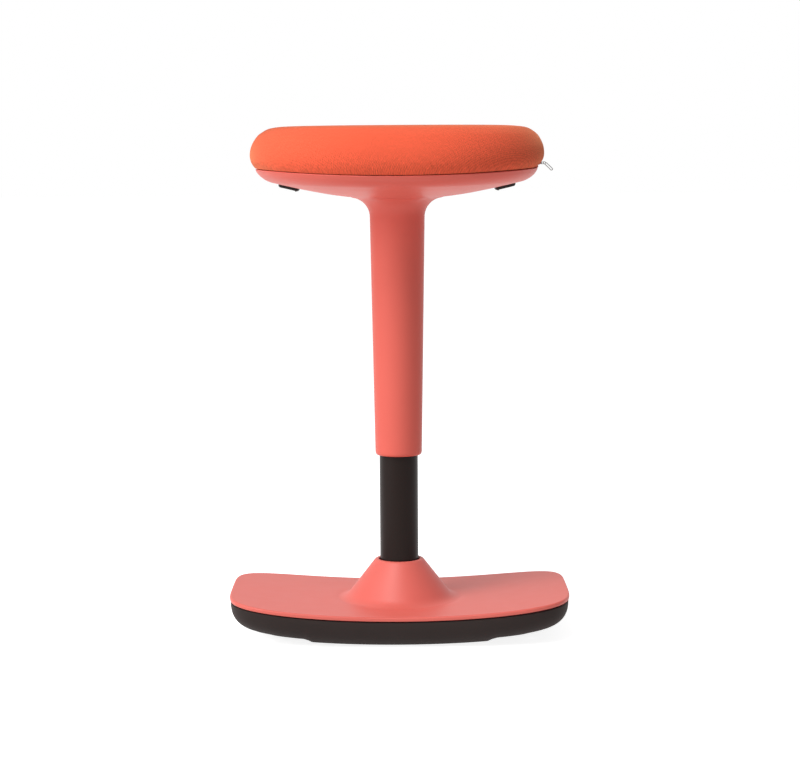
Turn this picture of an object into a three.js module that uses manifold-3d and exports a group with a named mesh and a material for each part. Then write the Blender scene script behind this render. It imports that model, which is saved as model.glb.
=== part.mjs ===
// Wobble stool: a rocker base, a telescopic column on a locking gas spring, and a padded seat.
// Millimetres, +Z up. The origin is on the floor under the middle of the base.
// X runs from side to side, and -Y is the front.

import * as THREE from 'three';
import { mergeGeometries, mergeVertices } from 'three/addons/utils/BufferGeometryUtils.js';
import Module from 'manifold-3d';

const wasm = await Module();
wasm.setup();

// Clearances that every piece shares
const seatGap = 0.3;
const runningGap = 0.4;
const cutOverrun = 2;
const weldTolerance = 1e-4;

// Facets round each kind of piece
const planFacets = 44;
const cushionFacets = 40;
const ballastFacets = 28;
const tubeFacets = 24;
const rodFacets = 16;
const screwFacets = 8;

// Base plan and the long curve that lifts both ends
const baseHalfWidth = 219.7;
const baseHalfDepth = 126.2;
const baseSquareness = 5;
const rockerRadius = 1500;
const plateTop = 41.5;

// Base shell: lip, tongue, cone collar
const shellWall = 3;
const lipHeight = 5.5;
const lipRound = 3;
const tongueInset = 6.3;
const tongueDrop = 8.5;
const coneHeight = 52.5;
const coneRimRound = 6;
const coneRimWidth = 7.9;
const coneMouthDrop = 1.2;
const coneRunShare = 0.775;
const coneFootRound = 18;
const coneCollarDepth = 10;
const coneToTubeGap = 1.6;

// Rocker sole
const partingGap = 1.3;
const soleInset = 1;
const soleTuckWidth = 38;
const soleTuckPower = 0.8;
const soleFloor = 8;
const pocketDepth = 2;
const soleWall = 4.7;
const treadRadius = 2000;
const treadCentreEdge = 36;
const treadGrooveWidth = 4;
const treadGrooveDepth = 0.8;
const treadInnerMargin = 113.7;
const treadInnerSlope = 12;
const treadInnerStep = 2.6;
const treadOuterMargin = 63.7;
const treadOuterSlope = 6;
const treadOuterStep = 0.6;

// Screws that hold the sole to the shell, set in from the base's ends and sides
const soleScrewEndMargin = 51.7;
const soleScrewSideMargin = 60.2;
const soleScrewRadius = 2;
const soleScrewHeadRadius = 5;
const soleScrewHeadHeight = 2.5;
const soleScrewRecess = 3;
const soleScrewBite = 18;
const soleBossWall = 4;

// Ballast plate and the steel hub bolted to it
const ballastEndMargin = 69.7;
const ballastSideMargin = 38.2;
const ballastThickness = 14;
const hubWall = 4;
const hubBelowCone = 22;
const hubLip = 3;
const hubLift = 2.6;
const hubFlangeWidth = 28.7;
const hubFlangeThickness = 6.5;
const hubScrewOut = 14.7;
const hubScrewCount = 4;
const hubScrewRadius = 4;
const hubScrewHeadRadius = 6.5;
const hubScrewHeadHeight = 5.5;

// Standpipe: the black tube
const tubeRadius = 25;
const tubeWall = 2;
const tubeLength = 386;
const tubeTaper = 0.8;
const tubeFloor = 4.4;

// Gas spring
const rodRadius = 5;
const rodBelowTube = 14;
const clipThickness = 1.3;
const clipRadius = 9;
const clipGrooveDepth = 1.5;
const raceThickness = 2;
const raceWidth = 8.6;
const ballRadius = 2;
const ballCount = 8;
const cageThickness = 1.2;
const cageHalfWidth = 2.6;
const bumperWidth = 10.6;
const bumperWaist = 3.2;
const bumperHeight = 15;
const bushLength = 75;
const bushFlange = 2;
const bushLand = 15;
const cylinderRadius = 14;
const cylinderWall = 1.5;
const cylinderLength = 339;
const cylinderTaper = 1;
const pistonHeight = 8;
const guideHeight = 22;
const valveHeight = 25;
const valveWall = 3;
const cylinderCap = 9;
const pinRadius = 3;
const pinHeadRadius = 8;
const pinHeadHeight = 2.7;

// Seat plan: the moulded shell's rim and the fuller cushion above it
const rimHalfWidth = 181.3;
const rimHalfDepth = 157.9;
const seatSquareness = 2.5;
const rimCurveRadius = 1974;
const rimRound = 23;
const rimCornerPower = 1.25;

// Seat shell: sleeve, fillet and dish
const dishBottom = 565.4;
const dishDepth = 29.4;
const dishRise = 17.5;
const dishCurveShare = 1.25;
const sleeveLength = 335.2;
const sleeveToTubeGap = 2.4;
const sleeveTaper = 5.1;
const sleeveLipRound = 2.8;
const sleeveLipRise = 5.5;
const neckRound = 25;

// Cushion
const cushionBulge = 7.1;
const cushionHeight = 61.9;
const coverThickness = 1.2;
const hemWidth = 18;
const boardThickness = 9;
const boardEdgeRound = 2.7;

// Ribs, clip sockets and clips inside the shell
const ribThickness = 2.5;
const ribBelowRim = 6.8;
const ribAngles = [48, 72, 108, 132, 228, 252, 288, 312];
const ribInnerShare = 0.25;
const ribOuterShare = 0.85;
const clipAngles = [30, 90, 150, 210, 270, 330];
const clipToHemGap = 11;
const clipPegRadius = 4;
const clipPegLength = 12;
const clipPegNose = 4;
const clipFlangeWidth = 3;
const clipFlangeThickness = 2;
const socketWall = 3.2;

// Release mechanism: plate, taper socket, levers and finger pads
const plateHalfLength = 75;
const plateHalfWidth = 48;
const plateCorner = 12;
const plateThickness = 3;
const plateHeight = 10.9;
const plateScrewEndMargin = 17;
const plateScrewSideMargin = 14;
const plateScrewRadius = 2;
const plateScrewHeadRadius = 5;
const plateScrewHeadHeight = 3;
const plateScrewLength = 12;
const plateBossWall = 3.2;
const taperSocketWall = 4.7;
const taperSocketLength = 36;
const pivotX = 40;
const pivotRadius = 2;
const pivotHeadRadius = 2.8;
const pivotHeadThickness = 1.4;
const leverThickness = 3;
const leverWidth = 14.4;
const leverAbovePivot = 3.5;
const leverHubWall = 2.7;
const leverPastPad = 6.6;
const leverPlateLength = 20;
const leverPlateWidth = 32;
const leverOverlap = 4;
const tongueWidth = 6;
const earThickness = 3;
const earLength = 12;
const earAbovePivot = 6;
const padMargin = 41.9;
const padLength = 26;
const padWidth = 50;
const padProud = 4.4;
const padRound = 3;
const padCorner = 10;
const padClearance = 1;

// Zip of the removable cover
const chainHeight = 5;
const chainLift = 3.5;
const chainThickness = 1;
const chainStart = 4;
const sliderLength = 9;
const sliderHeight = 4;
const sliderThickness = 1.6;
const sliderLift = 1.5;
const bailRadius = 0.5;
const bailWall = 0.6;
const bailReach = 2;
const lugThickness = 0.8;
const lugWidth = 1.2;
const pullLength = 15;
const pullWidth = 4.6;
const pullThickness = 1.2;
const pullSlotLength = 9;
const pullSlotWidth = 1.9;
const pullDroop = 49;

// Heights and radii of the base and column that follow from the sizes above
const coneTop = plateTop + coneHeight;
const coneMouthRadius = tubeRadius + coneToTubeGap;
const lipBottom = plateTop - lipHeight;
const soleTop = lipBottom - partingGap;
const trayFloor = soleFloor + pocketDepth;
const treadInnerEdge = baseHalfWidth - treadInnerMargin;
const treadOuterEdge = baseHalfWidth - treadOuterMargin;
const soleScrewX = baseHalfWidth - soleScrewEndMargin;
const soleScrewY = baseHalfDepth - soleScrewSideMargin;
const soleRecessTop = treadHeight(soleScrewX) + soleScrewRecess;
const soleScrewSeat = soleRecessTop - seatGap;
const soleHoleRadius = soleScrewRadius + seatGap;
const soleBossRadius = soleScrewRadius + soleBossWall;
const bossSeat = trayFloor + rise(soleScrewX, rockerRadius);
const ballastHalfWidth = baseHalfWidth - ballastEndMargin;
const ballastHalfDepth = baseHalfDepth - ballastSideMargin;
const ballastBottom = soleFloor + seatGap;
const ballastTop = ballastBottom + ballastThickness;
const hubBoreRadius = tubeRadius + seatGap;
const hubRadius = hubBoreRadius + hubWall;
const hubTop = coneTop - hubBelowCone;
const hubBottom = soleFloor + hubLift;
const hubFlangeBottom = ballastTop + seatGap;
const hubFlangeTop = hubFlangeBottom + hubFlangeThickness;
const hubFlangeRadius = hubRadius + hubFlangeWidth;
const hubScrewCircle = hubRadius + hubScrewOut;
const tubeBottom = hubBottom + hubLip + seatGap;
const tubeTop = tubeBottom + tubeLength;
const tubeBore = tubeRadius - tubeWall;
const tubeFloorTop = tubeBottom + tubeFloor;

// Heights and radii of the gas spring
const rodBore = rodRadius + runningGap;
const rodTop = tubeTop - rodBelowTube;
const rodBottom = hubBottom + seatGap;
const clipTop = tubeBottom - seatGap;
const clipGroove = rodRadius - clipGrooveDepth;
const raceRadius = rodBore + raceWidth;
const lowerRaceBottom = tubeFloorTop + seatGap;
const ballHeight = lowerRaceBottom + raceThickness + seatGap + ballRadius;
const upperRaceBottom = ballHeight + ballRadius + seatGap;
const bumperBottom = upperRaceBottom + raceThickness + seatGap;
const bumperRadius = rodBore + bumperWidth;
const cylinderBore = cylinderRadius - cylinderWall;
const valveRadius = cylinderRadius - valveWall;
const taperSocketRadius = cylinderRadius + seatGap + taperSocketWall;

// Heights of the seat and its mechanism
const neckFoot = dishBottom - neckRound;
const sleeveBottom = dishBottom - sleeveLength;
const sleeveLipRadius = tubeRadius + sleeveToTubeGap + shellWall;
const sleeveTopRadius = sleeveLipRadius + sleeveTaper;
const neckRadius = sleeveTopRadius + neckRound;
const rimHeight = dishBottom + dishDepth;
const crownHeight = rimHeight + cushionHeight;
const cushionHalfWidth = rimHalfWidth + cushionBulge;
const cushionHalfDepth = rimHalfDepth + cushionBulge;
const boardBottom = rimHeight + seatGap + coverThickness + seatGap;
const boardTop = boardBottom + boardThickness;
const plateBottom = dishBottom + plateHeight;
const plateTopFace = plateBottom + plateThickness;
const plateScrewX = plateHalfLength - plateScrewEndMargin;
const plateScrewY = plateHalfWidth - plateScrewSideMargin;
const cylinderTop = plateTopFace - seatGap;
const cylinderBottom = cylinderTop - cylinderLength;
const taperBottom = cylinderTop - taperSocketLength;
const pivotHeight = plateTopFace + pivotHeadRadius + runningGap;
const leverBottom = pivotHeight + leverAbovePivot;
const leverTop = leverBottom + leverThickness;
const leverHubRadius = pivotRadius + seatGap + leverHubWall;
const pinTop = leverBottom - seatGap;
const padX = rimHalfWidth - padMargin;
const leverReach = padX + leverPastPad;

const full = Math.PI * 2;
const radians = THREE.MathUtils.degToRad;

// Height that a long arc gains at a distance from its middle
function rise(distance, radius) {
  return (distance * distance) / (2 * radius);
}

// Point on a superellipse, which is a rounded rectangle or a full oval
function planPoint(halfWidth, halfDepth, squareness, angle) {
  const across = Math.cos(angle);
  const along = Math.sin(angle);
  const sum = Math.abs(across) ** squareness + Math.abs(along) ** squareness;
  const reach = sum ** (-1 / squareness);
  return new THREE.Vector2(halfWidth * reach * across, halfDepth * reach * along);
}

// Vertices merged by position only, with the walls turned to face outwards
function closed(geometry) {
  const bare = geometry.clone();
  bare.deleteAttribute('normal');
  bare.deleteAttribute('uv');
  const merged = mergeVertices(bare, weldTolerance);
  const place = merged.getAttribute('position');
  const corner = [0, 1, 2].map(() => new THREE.Vector3());
  const kept = [];
  let volume = 0;
  for (let i = 0; i < merged.index.count; i += 3) {
    const [a, b, c] = [0, 1, 2].map((k) => merged.index.getX(i + k));
    if (a === b || b === c || c === a) continue;
    kept.push(a, b, c);
    [a, b, c].forEach((vertex, k) => corner[k].fromBufferAttribute(place, vertex));
    volume += corner[0].dot(corner[1].clone().cross(corner[2]));
  }
  merged.setIndex(volume < 0 ? kept.reverse() : kept);
  return merged;
}

// Closed body through rings of points; with joined ends it has a hole through it
function loft(rings, endsJoined = false) {
  const count = rings[0].length;
  const points = rings.flat();
  const index = [];
  const bands = endsJoined ? rings.length : rings.length - 1;
  for (let band = 0; band < bands; band += 1) {
    const low = band * count;
    const high = ((band + 1) % rings.length) * count;
    for (let i = 0; i < count; i += 1) {
      const next = (i + 1) % count;
      index.push(low + i, low + next, high + next);
      index.push(low + i, high + next, high + i);
    }
  }
  if (!endsJoined) {
    for (const [ring, start] of [[rings[0], 0], [rings.at(-1), points.length - count]]) {
      const centre = new THREE.Vector3();
      ring.forEach((point) => centre.addScaledVector(point, 1 / count));
      centre.z = ring.centreHeight ?? centre.z;
      const hub = points.push(centre) - 1;
      for (let i = 0; i < count; i += 1) {
        const next = (i + 1) % count;
        index.push(...(start === 0 ? [hub, start + next, start + i] : [hub, start + i, start + next]));
      }
    }
  }
  const geometry = new THREE.BufferGeometry().setFromPoints(points);
  geometry.setIndex(index);
  return closed(geometry);
}

// Profile of [radius, height] points turned about the Z axis; a hollow one joins its ends
function turned(profile, facets, hollow = false) {
  const points = profile.map(([radius, height]) => new THREE.Vector2(radius, height));
  if (hollow) points.push(points[0].clone());
  return closed(new THREE.LatheGeometry(points, facets).rotateX(Math.PI / 2));
}

// Plain ring or disc between two heights
function ringBody(innerRadius, outerRadius, bottom, top, facets) {
  const outer = [[outerRadius, bottom], [outerRadius, top]];
  if (innerRadius === 0) return turned([[0, bottom], ...outer, [0, top]], facets);
  return turned([[innerRadius, bottom], ...outer, [innerRadius, top]], facets, true);
}

// Box between two corners
function boxBody(low, high) {
  const size = low.map((value, axis) => high[axis] - value);
  const middle = low.map((value, axis) => (high[axis] + value) / 2);
  return closed(new THREE.BoxGeometry(...size).translate(...middle));
}

// Outline in the XZ plane, drawn out to both sides of the XZ plane
function sideBody(outline, width, hole = null) {
  const shape = new THREE.Shape(outline.map(([x, z]) => new THREE.Vector2(x, z)));
  if (hole) shape.holes.push(new THREE.Path(hole.map(([x, z]) => new THREE.Vector2(x, z))));
  const body = new THREE.ExtrudeGeometry(shape, { depth: width, bevelEnabled: false });
  return closed(body.rotateX(Math.PI / 2).translate(0, width / 2, 0));
}

function solid(geometry) {
  const triVerts = new Uint32Array(geometry.index.array);
  const vertProperties = new Float32Array(geometry.getAttribute('position').array);
  return new wasm.Manifold(new wasm.Mesh({ numProp: 3, vertProperties, triVerts }));
}

function geometryOf(body) {
  const mesh = body.getMesh();
  const geometry = new THREE.BufferGeometry();
  geometry.setAttribute('position', new THREE.BufferAttribute(mesh.vertProperties, 3));
  geometry.setIndex([...mesh.triVerts]);
  return closed(geometry);
}

function joined(first, ...others) {
  return geometryOf(others.reduce((body, other) => body.add(solid(other)), solid(first)));
}

function cut(first, ...cutters) {
  return geometryOf(cutters.reduce((body, cutter) => body.subtract(solid(cutter)), solid(first)));
}

function common(first, second) {
  return geometryOf(solid(first).intersect(solid(second)));
}

// Copies of one body at several places, to join to a piece or cut from it
function copies(geometry, places) {
  return mergeGeometries(places.map(([x, y, z = 0]) => geometry.clone().translate(x, y, z)));
}

// The four places that mirror one place in X and Y
function corners(x, y) {
  return [[x, y], [-x, y], [-x, -y], [x, -y]];
}

// Screw with its head's seat at height zero and a round drive recess
function screw(headRadius, headHeight, shankRadius, length) {
  const recessRadius = headRadius * 0.45;
  const recessFloor = headHeight * 0.4;
  return turned([
    [0, -length],
    [shankRadius, -length],
    [shankRadius, 0],
    [headRadius, 0],
    [headRadius, headHeight],
    [recessRadius, headHeight],
    [recessRadius, recessFloor],
    [0, recessFloor],
  ], screwFacets);
}

// Ring of the base: part of the way from a circle round the column to the base's plan
function baseRing({ radius = 0, share = 1, inset = 0, height, curve = 1, relief = 0 }) {
  const ring = [];
  for (let i = 0; i < planFacets; i += 1) {
    const angle = (full * i) / planFacets;
    const edge = planPoint(baseHalfWidth - inset, baseHalfDepth - inset, baseSquareness, angle);
    const x = THREE.MathUtils.lerp(radius * Math.cos(angle), edge.x, share);
    const y = THREE.MathUtils.lerp(radius * Math.sin(angle), edge.y, share);
    const lift = curve * rise(x, rockerRadius) + relief * treadRelief(x);
    ring.push(new THREE.Vector3(x, y, height + lift));
  }
  ring.centreHeight = height;
  return ring;
}

// Base shell: plate with a rounded lip, a tongue inside the sole and a cone round the column
function baseShell() {
  const rimRadius = coneMouthRadius + coneRimWidth;
  const rimFoot = coneTop - coneRimRound;
  const flank = Math.atan2(1, coneRunShare);
  const wallRun = shellWall / Math.sin(flank);
  const flankFoot = rimRadius + coneRunShare * (rimFoot - plateTop);
  const footReach = coneFootRound * Math.tan(flank / 2);
  const footRadius = flankFoot + footReach;
  const footCentre = plateTop + coneFootRound;
  const footRing = (share) => ({
    radius: footRadius - coneFootRound * Math.sin(flank * share),
    share: 0,
    height: footCentre - coneFootRound * Math.cos(flank * share),
    curve: 1 - share,
  });
  const rimRing = (share) => ({
    radius: rimRadius - coneRimRound * (1 - Math.cos((Math.PI / 2) * share)),
    share: 0,
    height: rimFoot + coneRimRound * Math.sin((Math.PI / 2) * share),
    curve: 0,
  });
  const collarFoot = rimFoot - coneCollarDepth;
  const innerFlank = (height) => rimRadius + coneRunShare * (rimFoot - height) - wallRun;
  const plateFloor = plateTop - shellWall;
  const tongueInner = tongueInset + shellWall;
  const stations = [
    { inset: soleInset, height: lipBottom },
    { inset: 0, height: lipBottom + soleInset },
    { inset: 0, height: plateTop - lipRound },
    { inset: lipRound * 0.3, height: plateTop - lipRound * 0.3 },
    { inset: lipRound, height: plateTop },
    { radius: footRadius, share: 0.4, inset: lipRound, height: plateTop },
    footRing(0),
    footRing(0.5),
    footRing(1),
    { radius: rimRadius, share: 0, height: rimFoot, curve: 0 },
    ...[0.35, 0.7, 1].map(rimRing),
    { radius: coneMouthRadius, share: 0, height: coneTop - coneMouthDrop, curve: 0 },
    { radius: coneMouthRadius, share: 0, height: collarFoot, curve: 0 },
    { radius: innerFlank(collarFoot), share: 0, height: collarFoot, curve: 0 },
    { radius: innerFlank(footCentre), share: 0, height: footCentre, curve: 0 },
    { radius: footRadius - wallRun, share: 0, height: plateFloor, curve: 1 },
    { radius: footRadius - wallRun, share: 0.5, inset: tongueInner, height: plateFloor },
    { inset: tongueInner, height: plateFloor },
    { inset: tongueInner, height: lipBottom - tongueDrop },
    { inset: tongueInset, height: lipBottom - tongueDrop },
    { inset: tongueInset, height: lipBottom },
  ];
  const shell = loft(stations.map(baseRing), true);
  const lift = rise(soleScrewX, rockerRadius);
  const bossTop = plateTop + lift - shellWall / 2;
  const boss = ringBody(0, soleBossRadius, bossSeat + seatGap, bossTop, screwFacets);
  const holeTop = bossSeat + soleScrewBite + cutOverrun;
  const hole = ringBody(0, soleHoleRadius, bossSeat, holeTop, screwFacets);
  return cut(joined(shell, copies(boss, corners(soleScrewX, soleScrewY))),
    copies(hole, corners(soleScrewX, soleScrewY)));
}

// How far the underside steps up outside the middle pads
function treadRelief(x) {
  return treadInnerStep * THREE.MathUtils.clamp((Math.abs(x) - treadInnerEdge) / treadInnerSlope, 0, 1);
}

// Height of the tread's pads above the floor, which step up towards the ends
function treadHeight(x) {
  const outer = THREE.MathUtils.clamp((x - treadOuterEdge) / treadOuterSlope, 0, 1);
  const past = Math.max(0, x - treadCentreEdge);
  const curve = rise(past, treadRadius) + (past * treadCentreEdge) / treadRadius;
  return curve + treadRelief(x) + outer * treadOuterStep;
}

// Rocker sole: a rubber tray whose underside is cut to the stepped tread
function rockerSole() {
  const tuckHeight = soleTop;
  const wallRing = (share) => {
    const turned = (Math.PI / 2) * share;
    const relief = Math.sin(turned) ** soleTuckPower;
    return {
      inset: soleInset + soleTuckWidth * (1 - Math.cos(turned) ** soleTuckPower),
      height: tuckHeight * (1 - relief),
      relief,
    };
  };
  const tucked = [0.97, 0.78, 0.58, 0.4, 0.2, 0].map(wallRing);
  const bottom = { inset: soleInset + soleTuckWidth, height: -cutOverrun, curve: 0 };
  const tray = loft([bottom, ...tucked].map(baseRing));

  const reach = baseHalfWidth + cutOverrun;
  const halfTread = [
    [treadCentreEdge, 0],
    [treadCentreEdge, treadGrooveDepth],
    [treadCentreEdge + treadGrooveWidth, treadGrooveDepth],
    [treadCentreEdge + treadGrooveWidth, treadHeight(treadCentreEdge + treadGrooveWidth)],
    [(treadCentreEdge + treadInnerEdge) / 2, treadHeight((treadCentreEdge + treadInnerEdge) / 2)],
    [treadInnerEdge, treadHeight(treadInnerEdge)],
    [treadInnerEdge + treadInnerSlope, treadHeight(treadInnerEdge + treadInnerSlope)],
    [treadOuterEdge, treadHeight(treadOuterEdge)],
    [treadOuterEdge + treadOuterSlope, treadHeight(treadOuterEdge + treadOuterSlope)],
    [(treadOuterEdge + reach) / 2, treadHeight((treadOuterEdge + reach) / 2)],
    [reach, treadHeight(reach)],
  ];
  const ceiling = plateTop + rise(reach, rockerRadius);
  const outline = [
    ...halfTread,
    [reach, ceiling],
    [-reach, ceiling],
    ...halfTread.map(([x, z]) => [-x, z]).reverse(),
  ];
  const tread = sideBody(outline, 2 * (baseHalfDepth + cutOverrun));

  const innerInset = tongueInset - seatGap;
  const hollow = loft([
    { share: 0.5, inset: soleTuckWidth * 0.6, height: trayFloor },
    { inset: soleTuckWidth * 0.6, height: trayFloor },
    { inset: innerInset + soleWall * 1.6, height: trayFloor + soleWall },
    { inset: innerInset, height: lipBottom - tongueDrop - seatGap },
    { inset: innerInset, height: plateTop + cutOverrun },
    { share: 0.5, inset: innerInset, height: plateTop + cutOverrun },
  ].map(baseRing));

  const recessRadius = soleScrewHeadRadius + seatGap;
  const recess = ringBody(0, recessRadius, -cutOverrun, soleRecessTop, screwFacets);
  const holeTop = soleTop + rise(soleScrewX, rockerRadius);
  const hole = ringBody(0, soleHoleRadius, 0, holeTop, screwFacets);
  const bossPocket = ringBody(0, soleBossRadius + seatGap, bossSeat, holeTop, screwFacets);
  const places = corners(soleScrewX, soleScrewY);
  const screwCuts = [recess, hole, bossPocket].map((cutter) => copies(cutter, places));
  return cut(common(tray, tread), hollow, ballastPocket(), ...screwCuts);
}

// Shallow pocket in the sole's floor that holds the ballast plate in place
function ballastPocket() {
  return loft([
    [0.5, -seatGap, soleFloor],
    [1, -seatGap, soleFloor],
    [1, -seatGap, trayFloor + cutOverrun],
    [0.5, -seatGap, trayFloor + cutOverrun],
  ].map(ballastRing));
}

// Self-tapping screw that goes up through the sole into one of the shell's bosses
function soleScrew() {
  const length = bossSeat + soleScrewBite - soleScrewSeat;
  return screw(soleScrewHeadRadius, soleScrewHeadHeight, soleScrewRadius, length);
}

// Ring of the ballast plate, which follows the rocker curve
function ballastRing([share, inset, height]) {
  const ring = [];
  for (let i = 0; i < ballastFacets; i += 1) {
    const angle = (full * i) / ballastFacets;
    const edge = planPoint(ballastHalfWidth - inset, ballastHalfDepth - inset, baseSquareness, angle);
    edge.multiplyScalar(share);
    ring.push(new THREE.Vector3(edge.x, edge.y, height + rise(edge.x, rockerRadius)));
  }
  ring.centreHeight = height;
  return ring;
}

function ballastPlate() {
  const chamfer = ballastThickness * 0.15;
  const plate = loft([
    [0.5, chamfer, ballastBottom],
    [1, chamfer, ballastBottom],
    [1, 0, ballastBottom + chamfer],
    [1, 0, ballastTop - chamfer],
    [1, chamfer, ballastTop],
    [0.5, chamfer, ballastTop],
  ].map(ballastRing));
  const hubHole = ringBody(0, hubRadius + seatGap, 0, ballastTop + cutOverrun, tubeFacets);
  const seatRadius = hubFlangeRadius + seatGap;
  const seat = ringBody(0, seatRadius, ballastTop, ballastTop + cutOverrun * 2, tubeFacets);
  const hole = ringBody(0, hubScrewRadius + seatGap, 0, ballastTop + cutOverrun, screwFacets);
  return cut(plate, joined(hubHole, seat), copies(hole, hubScrewPlaces()));
}

function hubScrewPlaces() {
  return Array.from({ length: hubScrewCount }, (_, i) => {
    const angle = (full * (i + 0.5)) / hubScrewCount;
    return [hubScrewCircle * Math.cos(angle), hubScrewCircle * Math.sin(angle)];
  });
}

// Radius that the tapered foot of the standpipe loses at its lower end
function taperLoss(height) {
  return (tubeTaper * (hubTop - height)) / (hubTop - tubeBottom);
}

function columnHub() {
  const web = hubWall;
  const hub = turned([
    [hubBoreRadius - hubLip - hubWall, hubBottom],
    [hubRadius, hubBottom],
    [hubRadius, hubFlangeBottom],
    [hubFlangeRadius, hubFlangeBottom],
    [hubFlangeRadius, hubFlangeTop - web / 4],
    [hubFlangeRadius - web / 4, hubFlangeTop],
    [hubRadius + web, hubFlangeTop],
    [hubRadius, hubFlangeTop + web],
    [hubRadius, hubTop],
    [hubBoreRadius, hubTop],
    [hubBoreRadius - taperLoss(tubeBottom), tubeBottom - seatGap],
    [hubBoreRadius - hubLip - hubWall, tubeBottom - seatGap],
  ], tubeFacets, true);
  const low = hubFlangeBottom - cutOverrun;
  const high = hubFlangeTop + cutOverrun;
  const hole = ringBody(0, hubScrewRadius + seatGap, low, high, screwFacets);
  return cut(hub, copies(hole, hubScrewPlaces()));
}

function hubScrew() {
  const length = hubFlangeTop - ballastBottom;
  return screw(hubScrewHeadRadius, hubScrewHeadHeight, hubScrewRadius, length);
}

function standpipe() {
  return turned([
    [rodBore, tubeBottom],
    [tubeRadius - taperLoss(tubeBottom), tubeBottom],
    [tubeRadius, hubTop],
    [tubeRadius, tubeTop],
    [tubeBore, tubeTop],
    [tubeBore, tubeFloorTop],
    [rodBore, tubeFloorTop],
  ], tubeFacets, true);
}

// Bush in the top of the standpipe, relieved between its two bearing lands
function guideBush() {
  const bore = cylinderRadius + runningGap;
  const relief = bore + cylinderWall;
  const bottom = tubeTop - bushLength;
  const flangeBottom = tubeTop + seatGap;
  return turned([
    [bore, bottom],
    [tubeBore - seatGap, bottom],
    [tubeBore - seatGap, flangeBottom],
    [tubeRadius, flangeBottom],
    [tubeRadius, flangeBottom + bushFlange],
    [bore, flangeBottom + bushFlange],
    [bore, tubeTop - bushLand],
    [relief, tubeTop - bushLand],
    [relief, bottom + bushLand],
    [bore, bottom + bushLand],
  ], tubeFacets, true);
}

// Flat washer above or below the balls of the thrust bearing
function bearingRace() {
  return ringBody(rodBore, raceRadius, 0, raceThickness, rodFacets);
}

// Balls of the thrust bearing, held in their cage
function ballCage() {
  const circle = rodBore + raceWidth / 2;
  const ball = closed(new THREE.SphereGeometry(ballRadius, 6, 4).rotateX(Math.PI / 2));
  const places = Array.from({ length: ballCount }, (_, i) => {
    const angle = (full * i) / ballCount;
    return [circle * Math.cos(angle), circle * Math.sin(angle)];
  });
  const half = cageThickness / 2;
  const cage = ringBody(circle - cageHalfWidth, circle + cageHalfWidth, -half, half, rodFacets);
  return joined(cage, copies(ball, places));
}

function bumper() {
  const waist = bumperRadius - bumperWaist;
  return turned([
    [rodBore, 0],
    [bumperRadius, 0],
    [waist, bumperHeight / 2],
    [bumperRadius, bumperHeight],
    [rodBore, bumperHeight],
  ], rodFacets, true);
}

// Piston rod, turned down where the clip holds it under the standpipe's floor
function pistonRod() {
  const clipBottom = clipTop - clipThickness;
  return turned([
    [0, rodBottom],
    [rodRadius, rodBottom],
    [rodRadius, clipBottom - seatGap],
    [clipGroove, clipBottom - seatGap],
    [clipGroove, clipTop + seatGap],
    [rodRadius, clipTop + seatGap],
    [rodRadius, rodTop],
    [0, rodTop],
  ], rodFacets);
}

function rodClip() {
  return ringBody(clipGroove + seatGap, clipRadius, 0, clipThickness, rodFacets);
}

function piston() {
  const radius = cylinderBore - runningGap;
  return ringBody(rodRadius + seatGap, radius, 0, pistonHeight, tubeFacets);
}

function gasCylinder() {
  const pinBore = pinRadius + runningGap;
  return turned([
    [cylinderBore, cylinderBottom],
    [cylinderRadius, cylinderBottom],
    [cylinderRadius, taperBottom],
    [cylinderRadius - cylinderTaper, cylinderTop],
    [pinBore, cylinderTop],
    [pinBore, cylinderTop - cylinderCap],
    [valveRadius, cylinderTop - cylinderCap],
    [valveRadius, taperBottom],
    [cylinderBore, taperBottom - cylinderWall],
  ], tubeFacets, true);
}

function rodGuide() {
  return ringBody(rodBore, cylinderBore - seatGap, 0, guideHeight, tubeFacets);
}

function valveBody() {
  return ringBody(pinRadius + runningGap, valveRadius - seatGap, 0, valveHeight, tubeFacets);
}

function releasePin() {
  const headBottom = pinTop - pinHeadHeight;
  return turned([
    [0, taperBottom],
    [pinRadius, taperBottom],
    [pinRadius, headBottom],
    [pinHeadRadius, headBottom],
    [pinHeadRadius, pinTop],
    [0, pinTop],
  ], rodFacets);
}

// Point of the seat dish: part of the way from the neck's circle to the rim's plan
function dishPoint(angle, share, inset = 0) {
  const edge = planPoint(rimHalfWidth - inset, rimHalfDepth - inset, seatSquareness, angle);
  const x = THREE.MathUtils.lerp(neckRadius * Math.cos(angle), edge.x, share);
  const y = THREE.MathUtils.lerp(neckRadius * Math.sin(angle), edge.y, share);
  return new THREE.Vector3(x, y, 0);
}

// Height of the dish's underside, without the lift of its ends
function dishHeight(share) {
  return dishBottom + dishRise * share ** dishCurveShare;
}

function endLift(x) {
  return rise(x, rimCurveRadius);
}

// Height inside the dish's wall under any place between the neck and the rim
function wallHeight(x, y) {
  const edge = planPoint(rimHalfWidth, rimHalfDepth, seatSquareness, Math.atan2(y, x)).length();
  const share = THREE.MathUtils.clamp((Math.hypot(x, y) - neckRadius) / (edge - neckRadius), 0, 1);
  return dishHeight(share) + endLift(x) + shellWall / 2;
}

function seatRing({ radius = null, share = 1, inset = 0, height }) {
  const ring = [];
  for (let i = 0; i < planFacets; i += 1) {
    const angle = (full * i) / planFacets;
    if (radius !== null) {
      ring.push(new THREE.Vector3(radius * Math.cos(angle), radius * Math.sin(angle), height));
      continue;
    }
    const point = dishPoint(angle, share, inset);
    point.z = height + endLift(point.x);
    ring.push(point);
  }
  return ring;
}

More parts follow.
